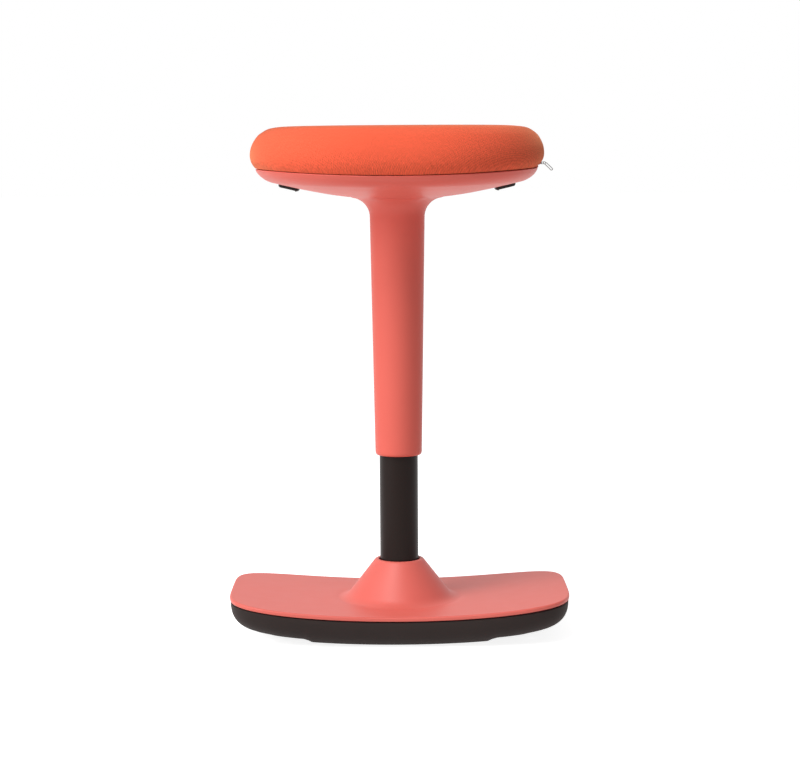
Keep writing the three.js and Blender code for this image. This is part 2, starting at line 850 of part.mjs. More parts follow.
// Seat shell: a dish that flows through a round fillet into the long tapered sleeve
function seatShell() {
  const quarter = Math.PI / 2;
  const neckRing = (share, wall) => ({
    radius: neckRadius - (neckRound + wall) * Math.cos(quarter * share),
    height: neckFoot + (neckRound + wall) * Math.sin(quarter * share),
  });
  const cornerFoot = dishHeight(1 - rimRound / (rimHalfWidth - neckRadius));
  const cornerRing = (turn, wall = 0) => ({
    inset: wall + rimRound * (1 - Math.sin(quarter * turn) ** rimCornerPower),
    height: wall + rimHeight - (rimHeight - cornerFoot) * Math.cos(quarter * turn) ** rimCornerPower,
  });
  const outerSleeve = [
    { radius: sleeveLipRadius - sleeveLipRound * 0.7, height: sleeveBottom },
    { radius: sleeveLipRadius - sleeveLipRound * 0.2, height: sleeveBottom + sleeveLipRise * 0.3 },
    { radius: sleeveLipRadius, height: sleeveBottom + sleeveLipRise },
    { radius: sleeveTopRadius, height: neckFoot },
  ];
  const innerSleeve = [
    { radius: sleeveTopRadius - shellWall, height: neckFoot },
    { radius: sleeveLipRadius - shellWall, height: sleeveBottom + sleeveLipRound * 0.2 },
  ];
  const stations = [
    ...outerSleeve,
    ...[0.25, 0.5, 0.75].map((share) => neckRing(share, 0)),
    ...[0, 0.3, 0.6].map((share) => ({ share, height: dishHeight(share) })),
    ...[0.1, 0.3, 0.52, 0.76].map((turn) => cornerRing(turn)),
    { inset: 0, height: rimHeight - shellWall / 2 },
    { inset: shellWall / 4, height: rimHeight },
    { inset: shellWall, height: rimHeight },
    ...[0.52, 0.3, 0].map((turn) => cornerRing(turn, shellWall)),
    { share: 0.5, height: dishHeight(0.5) + shellWall },
    { share: 0, height: dishHeight(0) + shellWall },
    ...[0.7, 0.35].map((share) => neckRing(share, shellWall)),
    ...innerSleeve,
  ];
  const shell = loft(stations.map(seatRing), true);
  const slot = boxBody(
    [padX - padLength / 2 - padClearance, -padWidth / 2 - padClearance, dishBottom],
    [padX + padLength / 2 + padClearance, padWidth / 2 + padClearance, rimHeight],
  );
  const slots = copies(slot, [[0, 0], [-2 * padX, 0]]);
  const added = [plateBosses(), clipSockets(), ...ribAngles.map(rib)];
  return cut(joined(shell, ...added), slots, plateBossHoles(), clipSocketHoles());
}

// Rib along one line of the dish, from the neck to the rim
function rib(degrees) {
  const angle = radians(degrees);
  const shares = [ribInnerShare, (ribInnerShare + ribOuterShare) / 2, ribOuterShare];
  const low = shares.map((share) => dishPoint(angle, share));
  const along = low[2].clone().sub(low[0]).normalize();
  const side = new THREE.Vector3(-along.y, along.x, 0).multiplyScalar(ribThickness / 2);
  const rings = low.map((point) => {
    const bottom = wallHeight(point.x, point.y);
    const top = rimHeight - ribBelowRim + endLift(point.x);
    const corner = (sign, height) => {
      const place = point.clone().addScaledVector(side, sign);
      place.z = height;
      return place;
    };
    return [corner(1, bottom), corner(-1, bottom), corner(-1, top), corner(1, top)];
  });
  return loft(rings);
}

function plateBosses() {
  const radius = plateScrewRadius + seatGap + plateBossWall;
  const boss = ringBody(0, radius, dishBottom + shellWall / 2, plateBottom - seatGap, screwFacets);
  return copies(boss, corners(plateScrewX, plateScrewY));
}

function plateBossHoles() {
  const bottom = plateTopFace + seatGap - plateScrewLength - seatGap;
  const hole = ringBody(0, plateScrewRadius + seatGap, bottom, plateBottom + cutOverrun, screwFacets);
  return copies(hole, corners(plateScrewX, plateScrewY));
}

function plateScrew() {
  return screw(plateScrewHeadRadius, plateScrewHeadHeight, plateScrewRadius, plateScrewLength);
}

// Where the cushion's clips stand, with the height of the board's underside there
function clipPlaces() {
  const inset = hemWidth + clipToHemGap + clipPegRadius + clipFlangeWidth;
  return clipAngles.map((degrees) => {
    const point = dishPoint(radians(degrees), 1, inset);
    return [point.x, point.y, boardBottom + endLift(point.x)];
  });
}

function clipSockets() {
  const radius = clipPegRadius + seatGap + socketWall;
  return mergeGeometries(clipPlaces().map(([x, y, board]) => {
    const bottom = wallHeight(x, y);
    const top = board - 2 * seatGap - clipFlangeThickness - coverThickness;
    return ringBody(0, radius, bottom, top, screwFacets).translate(x, y, 0);
  }));
}

function clipSocketHoles() {
  const depth = clipPegLength + coverThickness + cutOverrun;
  return mergeGeometries(clipPlaces().map(([x, y, board]) => {
    const bottom = board - clipFlangeThickness - depth;
    return ringBody(0, clipPegRadius + seatGap, bottom, board, screwFacets).translate(x, y, 0);
  }));
}

// Push-in clip under the cushion's board, with the top of its flange at height zero
function cushionClip() {
  return turned([
    [0, -clipFlangeThickness - clipPegLength],
    [clipPegRadius / 2, -clipFlangeThickness - clipPegLength],
    [clipPegRadius, -clipFlangeThickness - clipPegLength + clipPegNose],
    [clipPegRadius, -clipFlangeThickness],
    [clipPegRadius + clipFlangeWidth, -clipFlangeThickness],
    [clipPegRadius + clipFlangeWidth, 0],
    [0, 0],
  ], screwFacets);
}

// Point of the board, foam or cover, at an inset from the cushion's widest line;
// its height is a share of the way from the curved rim to the level crown
function cushionPoint(angle, { inset, level = 0, above = 0 }) {
  const edge = planPoint(cushionHalfWidth - inset, cushionHalfDepth - inset, seatSquareness, angle);
  const height = THREE.MathUtils.lerp(rimHeight + endLift(edge.x), crownHeight, level) + above;
  return new THREE.Vector3(edge.x, edge.y, height);
}

function cushionRing(station) {
  const angles = Array.from({ length: cushionFacets }, (_, i) => (full * i) / cushionFacets);
  const ring = angles.map((angle) => cushionPoint(angle, station));
  const { level = 0, above = 0 } = station;
  ring.centreHeight = THREE.MathUtils.lerp(rimHeight, crownHeight, level) + above;
  return ring;
}

// Cushion's side from the drawn-in seam over the bulge to the crown:
// inset as a share of the cushion's height at the rim, then level as a share of that height
const sideShares = [
  [0.56, 0.08],
  [0.16, 0.18],
  [0, 0.33],
  [0.28, 0.53],
  [1.13, 0.735],
  [2.1, 0.855],
  [3.9, 0.965],
  [7.5, 0.994],
  [15, 0.999],
];

// Rings of the cushion's side at a depth under the cover's outer face
function sideRings(under, lowestLevel = 0) {
  const kept = sideShares.filter(([, level]) => level > lowestLevel);
  return kept.map(([insetShare, level]) => {
    const flat = level > 0.8 ? 1 : level * 0.6;
    return { inset: cushionBulge * insetShare + under * (1 - flat * 0.5), level, above: -under * flat };
  });
}

function seatBoard() {
  const inset = cushionBulge + coverThickness + seatGap;
  const middle = (boardBottom + boardTop) / 2 - rimHeight;
  return loft([
    { inset: inset + cushionHalfDepth / 2, above: boardBottom - rimHeight },
    { inset: inset + boardEdgeRound, above: boardBottom - rimHeight },
    { inset, above: middle },
    { inset: inset + boardEdgeRound, above: boardTop - rimHeight },
    { inset: inset + cushionHalfDepth / 2, above: boardTop - rimHeight },
  ].map(cushionRing));
}

function seatFoam() {
  const under = coverThickness + seatGap;
  const bottom = boardTop + seatGap - rimHeight;
  const lowestLevel = (bottom + seatGap) / cushionHeight;
  return loft([
    { inset: cushionBulge + cushionHalfDepth / 2, above: bottom },
    { inset: cushionBulge * 0.3 + under, above: bottom },
    ...sideRings(under, lowestLevel),
  ].map(cushionRing));
}

// Cover: a thin skin over foam and board, with its hem tucked under the board
function seatCover() {
  const hemBottom = seatGap;
  const hemInner = cushionBulge + hemWidth;
  const inner = sideRings(coverThickness).reverse();
  return loft([
    ...inner,
    { inset: cushionBulge + coverThickness, above: hemBottom + coverThickness },
    { inset: hemInner, above: hemBottom + coverThickness },
    { inset: hemInner, above: hemBottom },
    { inset: cushionBulge + coverThickness / 2, above: hemBottom },
    { inset: cushionBulge, above: hemBottom + coverThickness / 2 },
    ...sideRings(0),
  ].map(cushionRing));
}

// Inset of the cover's outer face at a level between rim and crown, for what is sewn to it
function coverInset(level) {
  const steps = [[1, 0], ...sideShares];
  const next = steps.findIndex(([, stepLevel]) => stepLevel > level);
  const [lowShare, lowLevel] = steps[next - 1];
  const [highShare, highLevel] = steps[next];
  const part = (level - lowLevel) / (highLevel - lowLevel);
  return cushionBulge * THREE.MathUtils.lerp(lowShare, highShare, part);
}

// Zip chain along the back half of the cover's lower edge
function zipChain() {
  const [lowLevel, highLevel] = [chainLift, chainLift + chainHeight].map((above) => above / cushionHeight);
  const low = coverInset(lowLevel) - seatGap;
  const high = coverInset(highLevel) - seatGap;
  const section = [
    [low, lowLevel],
    [low - chainThickness, lowLevel],
    [high - chainThickness, highLevel],
    [high, highLevel],
  ];
  const start = radians(chainStart);
  const steps = Array.from({ length: cushionFacets / 2 - 1 }, (_, i) => (full * (i + 1)) / cushionFacets);
  const rings = [start, ...steps, Math.PI - start].map((angle) => (
    section.map(([inset, level]) => cushionPoint(angle, { inset, level }))
  ));
  return loft(rings);
}

// Place of the zip slider's bar, beyond the +X end of the seam
const sliderLevel = (sliderLift + sliderHeight) / (cushionHeight - endLift(rimHalfWidth));
const sliderFace = cushionHalfWidth - coverInset(sliderLevel) + seatGap;
const bailOut = bailRadius + bailWall + runningGap + seatGap;
const bailX = sliderFace + sliderThickness + bailOut;
const bailZ = rimHeight + endLift(rimHalfWidth) + sliderLift + sliderHeight / 2;

// Zip slider about the middle of its bar
function zipSlider() {
  const half = sliderHeight / 2;
  const body = boxBody(
    [-bailOut - sliderThickness, -sliderLength / 2, -half],
    [-bailOut, sliderLength / 2, half],
  );
  const lug = boxBody(
    [-bailOut - lugThickness, -lugWidth / 2, -half],
    [lugWidth / 2, lugWidth / 2, -half + lugThickness],
  );
  const bar = ringBody(0, bailRadius, -half, half, screwFacets);
  return joined(body, lug, lug.clone().translate(0, 0, sliderHeight - lugThickness), bar);
}

// Slotted pull that hangs from the slider's bar and swings round it
function zipPull() {
  const eyeHalf = sliderHeight / 2 - lugThickness - seatGap;
  const eyeBore = bailRadius + runningGap;
  const eyeRadius = eyeBore + bailWall;
  const eye = ringBody(eyeBore, eyeRadius, -eyeHalf, eyeHalf, screwFacets);
  const stadium = (length, width, start) => {
    const turns = [-90, -45, 0, 45, 90, 135, 180, 225];
    return turns.map((degrees) => {
      const centre = degrees < 100 ? start + length - width / 2 : start + width / 2;
      const angle = radians(degrees);
      const along = centre + (width / 2) * Math.cos(angle);
      const across = (width / 2) * Math.sin(angle);
      const droop = radians(pullDroop);
      return [
        bailReach + along * Math.cos(droop) + across * Math.sin(droop),
        across * Math.cos(droop) - along * Math.sin(droop),
      ];
    });
  };
  const slotStart = (pullLength - pullSlotLength) / 2;
  const plate = sideBody(
    stadium(pullLength, pullWidth, 0),
    pullThickness,
    stadium(pullSlotLength, pullSlotWidth, slotStart),
  );
  const link = boxBody(
    [eyeRadius - bailWall / 2, -pullThickness / 2, -eyeHalf],
    [bailReach + pullWidth / 5, pullThickness / 2, eyeHalf],
  );
  return joined(eye, link, plate);
}

// Plate with the taper socket's hole, windows under the lever hubs and bent-up ears
function mechanismPlate() {
  const shape = new THREE.Shape();
  const [x, y, r] = [plateHalfLength, plateHalfWidth, plateCorner];
  shape.moveTo(x - r, -y);
  shape.absarc(x - r, -y + r, r, -Math.PI / 2, 0);
  shape.absarc(x - r, y - r, r, 0, Math.PI / 2);
  shape.absarc(-x + r, y - r, r, Math.PI / 2, Math.PI);
  shape.absarc(-x + r, -y + r, r, Math.PI, Math.PI * 1.5);
  const options = { depth: plateThickness, bevelEnabled: false, curveSegments: 5 };
  const plate = closed(new THREE.ExtrudeGeometry(shape, options).translate(0, 0, plateBottom));
  const low = plateBottom - cutOverrun;
  const high = plateTopFace + cutOverrun;
  const hole = ringBody(0, taperSocketRadius + seatGap, low, high, tubeFacets);
  const screwHole = ringBody(0, plateScrewRadius + seatGap, low, high, screwFacets);
  const innerEar = leverWidth / 2 + runningGap;
  const windowHalf = leverHubRadius + runningGap;
  const window = boxBody([-windowHalf, -innerEar, low], [windowHalf, innerEar, high]);
  const ear = boxBody(
    [-earLength / 2, innerEar, plateBottom],
    [earLength / 2, innerEar + earThickness, pivotHeight + earAbovePivot],
  );
  const farEar = ear.clone().translate(0, -2 * innerEar - earThickness, 0);
  const bore = pivotBar(pivotRadius + seatGap, 2 * (innerEar + earThickness + cutOverrun));
  const sides = [[pivotX, 0], [-pivotX, 0]];
  const eared = joined(plate, copies(ear, sides), copies(farEar, sides));
  const windows = copies(window, sides);
  return cut(eared, hole, copies(screwHole, corners(plateScrewX, plateScrewY)), windows, bore,
    bore.clone().translate(-2 * pivotX, 0, 0));
}

// Round bar along Y through the right-hand lever pivot
function pivotBar(radius, length) {
  const bar = ringBody(0, radius, -length / 2, length / 2, screwFacets);
  return closed(bar.rotateX(Math.PI / 2).translate(pivotX, 0, pivotHeight));
}

// Pivot pin of a lever, along Y through the ears
function pivotPin() {
  const outer = leverWidth / 2 + runningGap + earThickness + seatGap;
  const pin = turned([
    [0, -outer - pivotHeadThickness],
    [pivotRadius, -outer - pivotHeadThickness],
    [pivotRadius, outer],
    [pivotHeadRadius, outer],
    [pivotHeadRadius, outer + pivotHeadThickness],
    [0, outer + pivotHeadThickness],
  ], screwFacets);
  return pin.rotateX(Math.PI / 2);
}

function taperSocket() {
  const wide = cylinderRadius + seatGap;
  const narrow = cylinderRadius - cylinderTaper + seatGap;
  return turned([
    [wide, taperBottom],
    [taperSocketRadius, taperBottom],
    [taperSocketRadius, plateTopFace],
    [narrow, plateTopFace],
  ], tubeFacets, true);
}

// Lever on the +X side: fork over the release pin, hub on its pivot, plate on the finger pad
function leverBlank(innerEnd) {
  const half = leverWidth / 2;
  const arm = boxBody([innerEnd, -half, leverBottom], [leverReach, half, leverTop]);
  const plate = boxBody(
    [leverReach - leverPlateLength, -leverPlateWidth / 2, leverBottom],
    [leverReach, leverPlateWidth / 2, leverTop],
  );
  const hub = pivotBar(leverHubRadius, leverWidth);
  const bore = pivotBar(pivotRadius + seatGap, leverWidth + 2 * cutOverrun);
  return cut(joined(arm, plate, hub), bore);
}

function rightLever() {
  const slotHalf = tongueWidth / 2 + runningGap;
  const fork = boxBody(
    [-leverOverlap - cutOverrun, -slotHalf, leverBottom - cutOverrun],
    [2 * leverOverlap + seatGap, slotHalf, leverTop + cutOverrun],
  );
  return cut(leverBlank(-leverOverlap), fork);
}

function leftLever() {
  const blank = leverBlank(2 * leverOverlap).scale(-1, 1, 1);
  const tongue = boxBody(
    [-2 * leverOverlap - cutOverrun, -tongueWidth / 2, leverBottom],
    [leverOverlap, tongueWidth / 2, leverTop],
  );
  return joined(closed(blank), tongue);
}

// Finger pad: hangs from the lever through the shell and stands proud of its underside
function fingerPad() {
  const outside = (x) => {
    const share = (x - neckRadius) / (rimHalfWidth - neckRadius);
    return dishHeight(share) + endLift(x) - padProud;
  };
  const near = padX - padLength / 2;
  const far = padX + padLength / 2;
  const top = leverBottom - seatGap;
  const body = sideBody([
    [near, outside(near) + padRound],
    [near + padRound * 0.3, outside(near) + padRound * 0.3],
    [near + padRound, outside(near + padRound)],
    [far - padRound, outside(far - padRound)],
    [far - padRound * 0.3, outside(far) + padRound * 0.3],
    [far, outside(far) + padRound],
    [far, top],
    [near, top],
  ], padWidth);
  const trim = new THREE.Shape();
  const [x, y] = [padLength / 2, padWidth / 2];
  trim.moveTo(x - padCorner / 2, -y);
  trim.quadraticCurveTo(x, -y, x, -y + padCorner);
  trim.lineTo(x, y - padCorner);
  trim.quadraticCurveTo(x, y, x - padCorner / 2, y);
  trim.lineTo(-x + padCorner / 2, y);
  trim.quadraticCurveTo(-x, y, -x, y - padCorner);
  trim.lineTo(-x, -y + padCorner);
  trim.quadraticCurveTo(-x, -y, -x + padCorner / 2, -y);
  const options = { depth: rimHeight - sleeveBottom, bevelEnabled: false, curveSegments: 4 };
  const column = new THREE.ExtrudeGeometry(trim, options).translate(padX, 0, sleeveBottom);
  return common(body, closed(column));
}

// Materials
function finish(color, roughness, metalness = 0) {
  return new THREE.MeshStandardMaterial({ color, roughness, metalness });
}

const coralPlastic = finish(0xe2665c, 0.5);
const orangeFabric = finish(0xf07454, 0.95);
const blackRubber = finish(0x3a3432, 0.8);
const blackPaint = finish(0x2a2424, 0.45, 0.3);
const blackPlastic = finish(0x242020, 0.55);
const palePlastic = finish(0xd8d4cc, 0.6);
const castIron = finish(0x4a4a4c, 0.7, 0.8);
const steel = finish(0xb4b6b8, 0.35, 1);
const brightSteel = finish(0xccccd0, 0.15, 1);
const zipMetal = finish(0xaaaaa8, 0.4, 1);
const zipTape = finish(0xd8583c, 0.9);
const foam = finish(0xe8e0c8, 1);
const plywood = finish(0xc8a070, 0.7);

// The assembly: nested groups for what the gas spring, the seat and the levers carry
const stool = new THREE.Group();
const [base, rod, seat, rightLeverSet, leftLeverSet] = Array.from({ length: 5 }, () => new THREE.Group());
stool.add(base);
base.add(rod);
rod.add(seat);
seat.add(rightLeverSet, leftLeverSet);

function add(carrier, name, geometry, material, place = [0, 0, 0]) {
  const mesh = new THREE.Mesh(geometry, material.clone());
  mesh.name = name;
  mesh.position.set(...place);
  carrier.add(mesh);
  return mesh;
}

// Copies of one piece, numbered from 1, each at its own place at one height
function addEach(carrier, name, geometry, material, places, height = 0) {
  return places.map(([x, y, z = height], i) => {
    return add(carrier, `${name}_${i + 1}`, geometry, material, [x, y, z]);
  });
}

add(base, 'base_shell', baseShell(), coralPlastic);
add(base, 'rocker_sole', rockerSole(), blackRubber);
addEach(base, 'sole_screw', soleScrew(), steel, corners(soleScrewX, soleScrewY), soleScrewSeat)
  .forEach((mesh) => mesh.rotateX(Math.PI));
add(base, 'ballast_plate', ballastPlate(), castIron);
add(base, 'column_hub', columnHub(), steel);
addEach(base, 'hub_screw', hubScrew(), steel, hubScrewPlaces(), hubFlangeTop + seatGap);
add(base, 'standpipe', standpipe(), blackPaint);
add(base, 'guide_bush', guideBush(), palePlastic);
add(base, 'bearing_lower_race', bearingRace(), steel, [0, 0, lowerRaceBottom]);

add(rod, 'ball_cage', ballCage(), steel, [0, 0, ballHeight]);
add(rod, 'bearing_upper_race', bearingRace(), steel, [0, 0, upperRaceBottom]);
add(rod, 'bump_stop', bumper(), blackRubber, [0, 0, bumperBottom]);
add(rod, 'piston_rod', pistonRod(), brightSteel);
add(rod, 'rod_clip', rodClip(), steel, [0, 0, clipTop - clipThickness]);
add(rod, 'piston', piston(), blackPlastic, [0, 0, rodTop - pistonHeight]);

add(seat, 'gas_cylinder', gasCylinder(), blackPaint);
add(seat, 'rod_guide', rodGuide(), blackPlastic, [0, 0, cylinderBottom + cylinderWall]);
add(seat, 'valve_body', valveBody(), steel, [0, 0, cylinderTop - cylinderCap - seatGap - valveHeight]);
add(seat, 'release_pin', releasePin(), steel);
add(seat, 'seat_shell', seatShell(), coralPlastic);
add(seat, 'mechanism_plate', mechanismPlate(), steel);
add(seat, 'taper_socket', taperSocket(), steel);
addEach(seat, 'plate_screw', plateScrew(), steel, corners(plateScrewX, plateScrewY), plateTopFace + seatGap);
addEach(seat, 'pivot_pin', pivotPin(), steel, [[pivotX, 0], [-pivotX, 0]], pivotHeight);

add(rightLeverSet, 'lever_right', rightLever(), steel);
add(rightLeverSet, 'finger_pad_right', fingerPad(), blackPlastic);
add(leftLeverSet, 'lever_left', leftLever(), steel);
add(leftLeverSet, 'finger_pad_left', fingerPad(), blackPlastic).rotateZ(Math.PI);

addEach(seat, 'cushion_clip', cushionClip(), blackPlastic,
  clipPlaces().map(([x, y, board]) => [x, y, board - seatGap]));
add(seat, 'seat_board', seatBoard(), plywood);
add(seat, 'seat_foam', seatFoam(), foam);
add(seat, 'seat_cover', seatCover(), orangeFabric);
add(seat, 'zip_chain', zipChain(), zipTape);
add(seat, 'zip_slider', zipSlider(), zipMetal, [bailX, 0, bailZ]);
add(seat, 'zip_pull', zipPull(), zipMetal, [bailX, 0, bailZ]);

export default stool;
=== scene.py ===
import math

import bmesh
import bpy
from mathutils import Matrix, Vector


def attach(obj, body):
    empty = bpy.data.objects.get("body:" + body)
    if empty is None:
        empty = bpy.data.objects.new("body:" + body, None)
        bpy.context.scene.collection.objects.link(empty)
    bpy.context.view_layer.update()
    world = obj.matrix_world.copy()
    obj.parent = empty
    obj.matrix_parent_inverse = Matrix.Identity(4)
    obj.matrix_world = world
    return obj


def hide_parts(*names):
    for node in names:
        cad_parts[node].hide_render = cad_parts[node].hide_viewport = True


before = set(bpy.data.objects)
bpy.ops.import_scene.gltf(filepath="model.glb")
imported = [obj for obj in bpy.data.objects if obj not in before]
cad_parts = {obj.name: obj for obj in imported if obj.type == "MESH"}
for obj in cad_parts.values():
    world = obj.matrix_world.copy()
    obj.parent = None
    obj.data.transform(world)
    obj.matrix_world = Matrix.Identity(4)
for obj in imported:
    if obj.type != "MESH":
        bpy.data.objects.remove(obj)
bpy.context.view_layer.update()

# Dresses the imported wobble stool: fine shells, a puffed cushion, and a finish for every piece.
# Lengths are in metres, with +Z up, and the front of the stool faces -Y.
# A share runs from 0 to 1 along what it divides.
MM = 0.001
QUARTER = math.pi / 2
PLAN_FACETS = 128
BASE_FACETS = 256
CUSHION_FACETS = 192
RING_LEVEL_REACH = 0.25
CRISP_EDGE_ANGLE = 30
PLAIN_EDGE_ANGLE = 35
SOFT_EDGE_ANGLE = 40
CLOTH_EDGE_ANGLE = 60
FACING_DOWN = -0.9
MOSTLY_DOWN = -0.7

# Rocker base
BASE_HALF_WIDTH = 0.2197
BASE_HALF_DEPTH = 0.1262
BASE_SQUARENESS = 5.0
ROCKER_RADIUS = 1.5
PLATE_TOP = 0.0415
LIP_BOTTOM = 0.036
LIP_ROUND = 0.0022
WALL = 0.003
TONGUE_INSET = 0.0063
TONGUE_DROP = 0.0085
CONE_TOP = 0.094
CONE_MOUTH_RADIUS = 0.0266
CONE_RIM_RADIUS = 0.0326
CONE_RIM_ROUND = 0.005
CONE_RUN_SHARE = 0.775
CONE_FOOT_ROUND = 0.024
CONE_COLLAR_DEPTH = 0.014
LIP_STEPS = 6
CONE_FOOT_STEPS = 12
CONE_RIM_STEPS = 6
PLATE_SHARES = (0.985, 0.9, 0.75, 0.6, 0.45, 0.3, 0.15, 0.05)
MOUTH_EDGE = ((0.0015, 0.0001), (0.0004, 0.0005), (0, 0.0012))
LIP_UNDERSIDE = ((0.0012, 0), (0.0005, 0.0002), (0.0001, 0.0007), (0, 0.0013))

# Rubber sole and its tread
SOLE_TOP = 0.0347
SOLE_INSET = 0.001
SOLE_TUCK = 0.039
SOLE_TUCK_POWER = 0.74
SOLE_FLATTER = 0.1
SOLE_FLOOR = 0.0082
SOLE_WALL = 0.0047
TREAD_RADIUS = 2.0
TREAD_CENTRE_EDGE = 0.036
TREAD_GROOVE_WIDTH = 0.004
TREAD_GROOVE_DEPTH = 0.0008
TREAD_INNER_EDGE = 0.112
TREAD_INNER_SLOPE = 0.007
TREAD_INNER_STEP = 0.0034
TREAD_OUTER_EDGE = 0.158
TREAD_OUTER_SLOPE = 0.005
TREAD_OUTER_STEP = 0.0006
TREAD_GROOVE_SLOPE = 0.0005
TREAD_OVERRUN = 0.004
TREAD_BLOCK_TOP = 0.08
TREAD_BLOCK_HALF_DEPTH = 0.14
TUCK_SHARES = (0.99, 0.93, 0.86, 0.79, 0.72, 0.64, 0.56, 0.48, 0.4, 0.32, 0.24, 0.16, 0.08)
SOLE_EDGE = ((0, 0.0012), (0.0003, 0.0006), (0.001, 0))
SOLE_FIT = 0.0003
SOLE_CORNER_WALLS = 1.6
SOLE_FLAT_SHARE = 0.6
SOLE_SPARE = 0.004
SOLE_SCREW_X = 0.168
SOLE_SCREW_Y = 0.066
SOLE_RECESS_RADIUS = 0.0053
SOLE_RECESS_DEPTH = 0.003

# Standpipe
TUBE_RADIUS = 0.025
TUBE_WALL = 0.002
TUBE_BOTTOM = 0.0139
TUBE_TOP = 0.3999
TUBE_FLOOR = 0.0044
TUBE_EDGE_ROUND = 0.0006
TUBE_FACETS = 96

# Seat shell
RIM_HALF_WIDTH = 0.1813
RIM_HALF_DEPTH = 0.1579
RIM_HEIGHT = 0.5948
RIM_CURVE_RADIUS = 1.974
RIM_ROUND = 0.023
RIM_CORNER_POWER = 1.25
SEAT_SQUARENESS = 2.5
RIM_CURL = 0.003
RIM_CURL_RUN = 0.007
DISH_BOTTOM = 0.5654
DISH_RISE = 0.0175
DISH_CURVE_SHARE = 1.25
SLEEVE_BOTTOM = 0.2312
SLEEVE_LIP_RADIUS = 0.0304
SLEEVE_TOP_RADIUS = 0.0355
SLEEVE_LIP_ROUND = 0.0028
SLEEVE_LIP_RISE = 0.0045
NECK_ROUND = 0.025
NECK_FOOT = DISH_BOTTOM - NECK_ROUND
NECK_RADIUS = SLEEVE_TOP_RADIUS + NECK_ROUND
SLEEVE_LIP_STEPS = 5
SLEEVE_STEPS = 4
NECK_STEPS = 14
DISH_SHARES = (0, 0.02, 0.05, 0.1, 0.2, 0.3, 0.4, 0.5, 0.6, 0.7)
CORNER_TURNS = (0.06, 0.14, 0.23, 0.33, 0.44, 0.56, 0.68, 0.8, 0.9)
RIM_EDGE = ((0, 0.0012), (0.0002, 0.0006), (0.0007, 0.0001), (0.0012, 0), (WALL, 0), (WALL + 0.004, 0.006))
BORE_CHAMFER = 0.0003
BORE_CHAMFER_RISE = 0.0008
BORE_MOUTH_RISE = 0.0002
SLOT_BOTTOM = 0.55
SLOT_TOP = 0.6

# Finger pads
PAD_X = 0.1391
PAD_LENGTH = 0.025
PAD_WIDTH = 0.05
PAD_HEIGHT = 0.01
PAD_CLEARANCE = 0.001
PAD_CORNER = 0.004
PAD_EDGE_ROUND = 0.0022
PAD_PROUD = 0.0036
PAD_TOP = 0.5857
PAD_FACE_AREA = 20 * MM * MM
PAD_FACE_INSET = 0.0025
PAD_GROOVE_MARGIN = 0.004
PAD_GROOVE_PITCH = 0.0045
PAD_GROOVE_DEPTH = 0.0005
PAD_GROOVE_STEPS = (-2, -1.5, -1, -0.5, 0, 0.5, 1, 1.5)

# Cushion
CUSHION_HALF_WIDTH = 0.1884
CUSHION_HALF_DEPTH = 0.165
CUSHION_BULGE = 0.0071
CUSHION_HEIGHT = 0.0619
CROWN_HEIGHT = RIM_HEIGHT + CUSHION_HEIGHT
SIDE_SHARES = [
    (1, 0.012), (0.56, 0.08), (0.16, 0.18), (0, 0.33), (0.28, 0.53),
    (1.13, 0.735), (2.1, 0.855), (3.9, 0.965), (7.5, 0.996), (15, 1),
]
FULL_SIDE = 0.0035
SHOULDER_REACH = 0.06
PUFF_CAP = 0.004
FOAM_GIVE = 0.001
COVER_PULL = 0.93
VOXEL = 0.0045
SIDE_STEPS = 4
FLAT_INSETS = (0.09, 0.02)
SEAM_CLEARANCE = 0.0002
CURL_FADE = 6
HELD_HEIGHT = 0.006
PRESSURE = 4
CLOTH_FRAMES = 20
CLOTH_QUALITY = 6

# Zip slider and pull
BAR_X = 0.18877
BAR_Z = 0.60863
BAR_RADIUS = 0.0005
SLIDER_THICKNESS = 0.0016
SLIDER_LENGTH = 0.009
SLIDER_HEIGHT = 0.0034
PULL_LENGTH = 0.0135
PULL_WIDTH = 0.0039
PULL_THICKNESS = 0.0011
PULL_SLOT_SHARE = 0.4
PULL_START = 0.002
PULL_DROOP = 44
SLIDER_BACK = 0.0021
SLIDER_CORNER = 0.0006
LUG_LENGTH = 0.0032
LUG_WIDTH = 0.0012
LUG_HEIGHT = 0.0008
LUG_CORNER = 0.0003
LUG_BACK = 0.001
SLIDER_SOFTENING = 0.00012
PULL_END_SHARE = 0.46
PULL_EDGE_SHARE = 0.3
PULL_SLOT_REACH = 0.0002
LINK_RADIUS = 0.0016
LINK_WIRE_RADIUS = 0.00045
LINK_OUT = 0.0011

# Patterns of the finishes: a scale counts the pattern's cells in a metre
TONE_CLOUD_SCALE = 14
HANDLING_MARK_SCALE = 45
THREAD_WOBBLE_SCALE = 330
THREAD_WOBBLE = 7.0
FUZZ_SCALE = 720
STREAK_SCALE = 820
STREAK_SLANT = 45
STREAK_STRETCH = (1, 0.3, 1)
DYE_CLOUD_SCALE = 9
DYE_CHANGE = 0.08
LINE_STRETCH = (1, 1, 0.04)
METAL_CLOUD_SCALE = 60

# Room, lamps and camera: a lamp has its name, place, aim, size and power in watts
WORLD_FILL = 0.24
FLOOR_GLOW = 0.86
LAMPS = [
    ("key", (-2.5, -1.4, 1.8), (0, 0, 0.4), 1.7, 55),
    ("top", (-0.8, -1.2, 2.7), (0, 0, 0.3), 1.3, 46),
]
FLOOR_SIZE = 60
FLOOR_COLOUR = (0.9, 0.9, 0.9, 1)
FLOOR_ROUGHNESS = 0.9
CAMERA_PLACE = (0, -2.75, 0.62)
CAMERA_LENS = 95.6
CAMERA_SENSOR = 36
CAMERA_PITCH = -6.17
CAMERA_YAW = -0.047
CAMERA_ROLL = -0.36


# Work with one piece at a time

def deselect_all():
    if bpy.context.object and bpy.context.object.mode != "OBJECT":
        bpy.ops.object.mode_set(mode="OBJECT")
    bpy.ops.object.select_all(action="DESELECT")


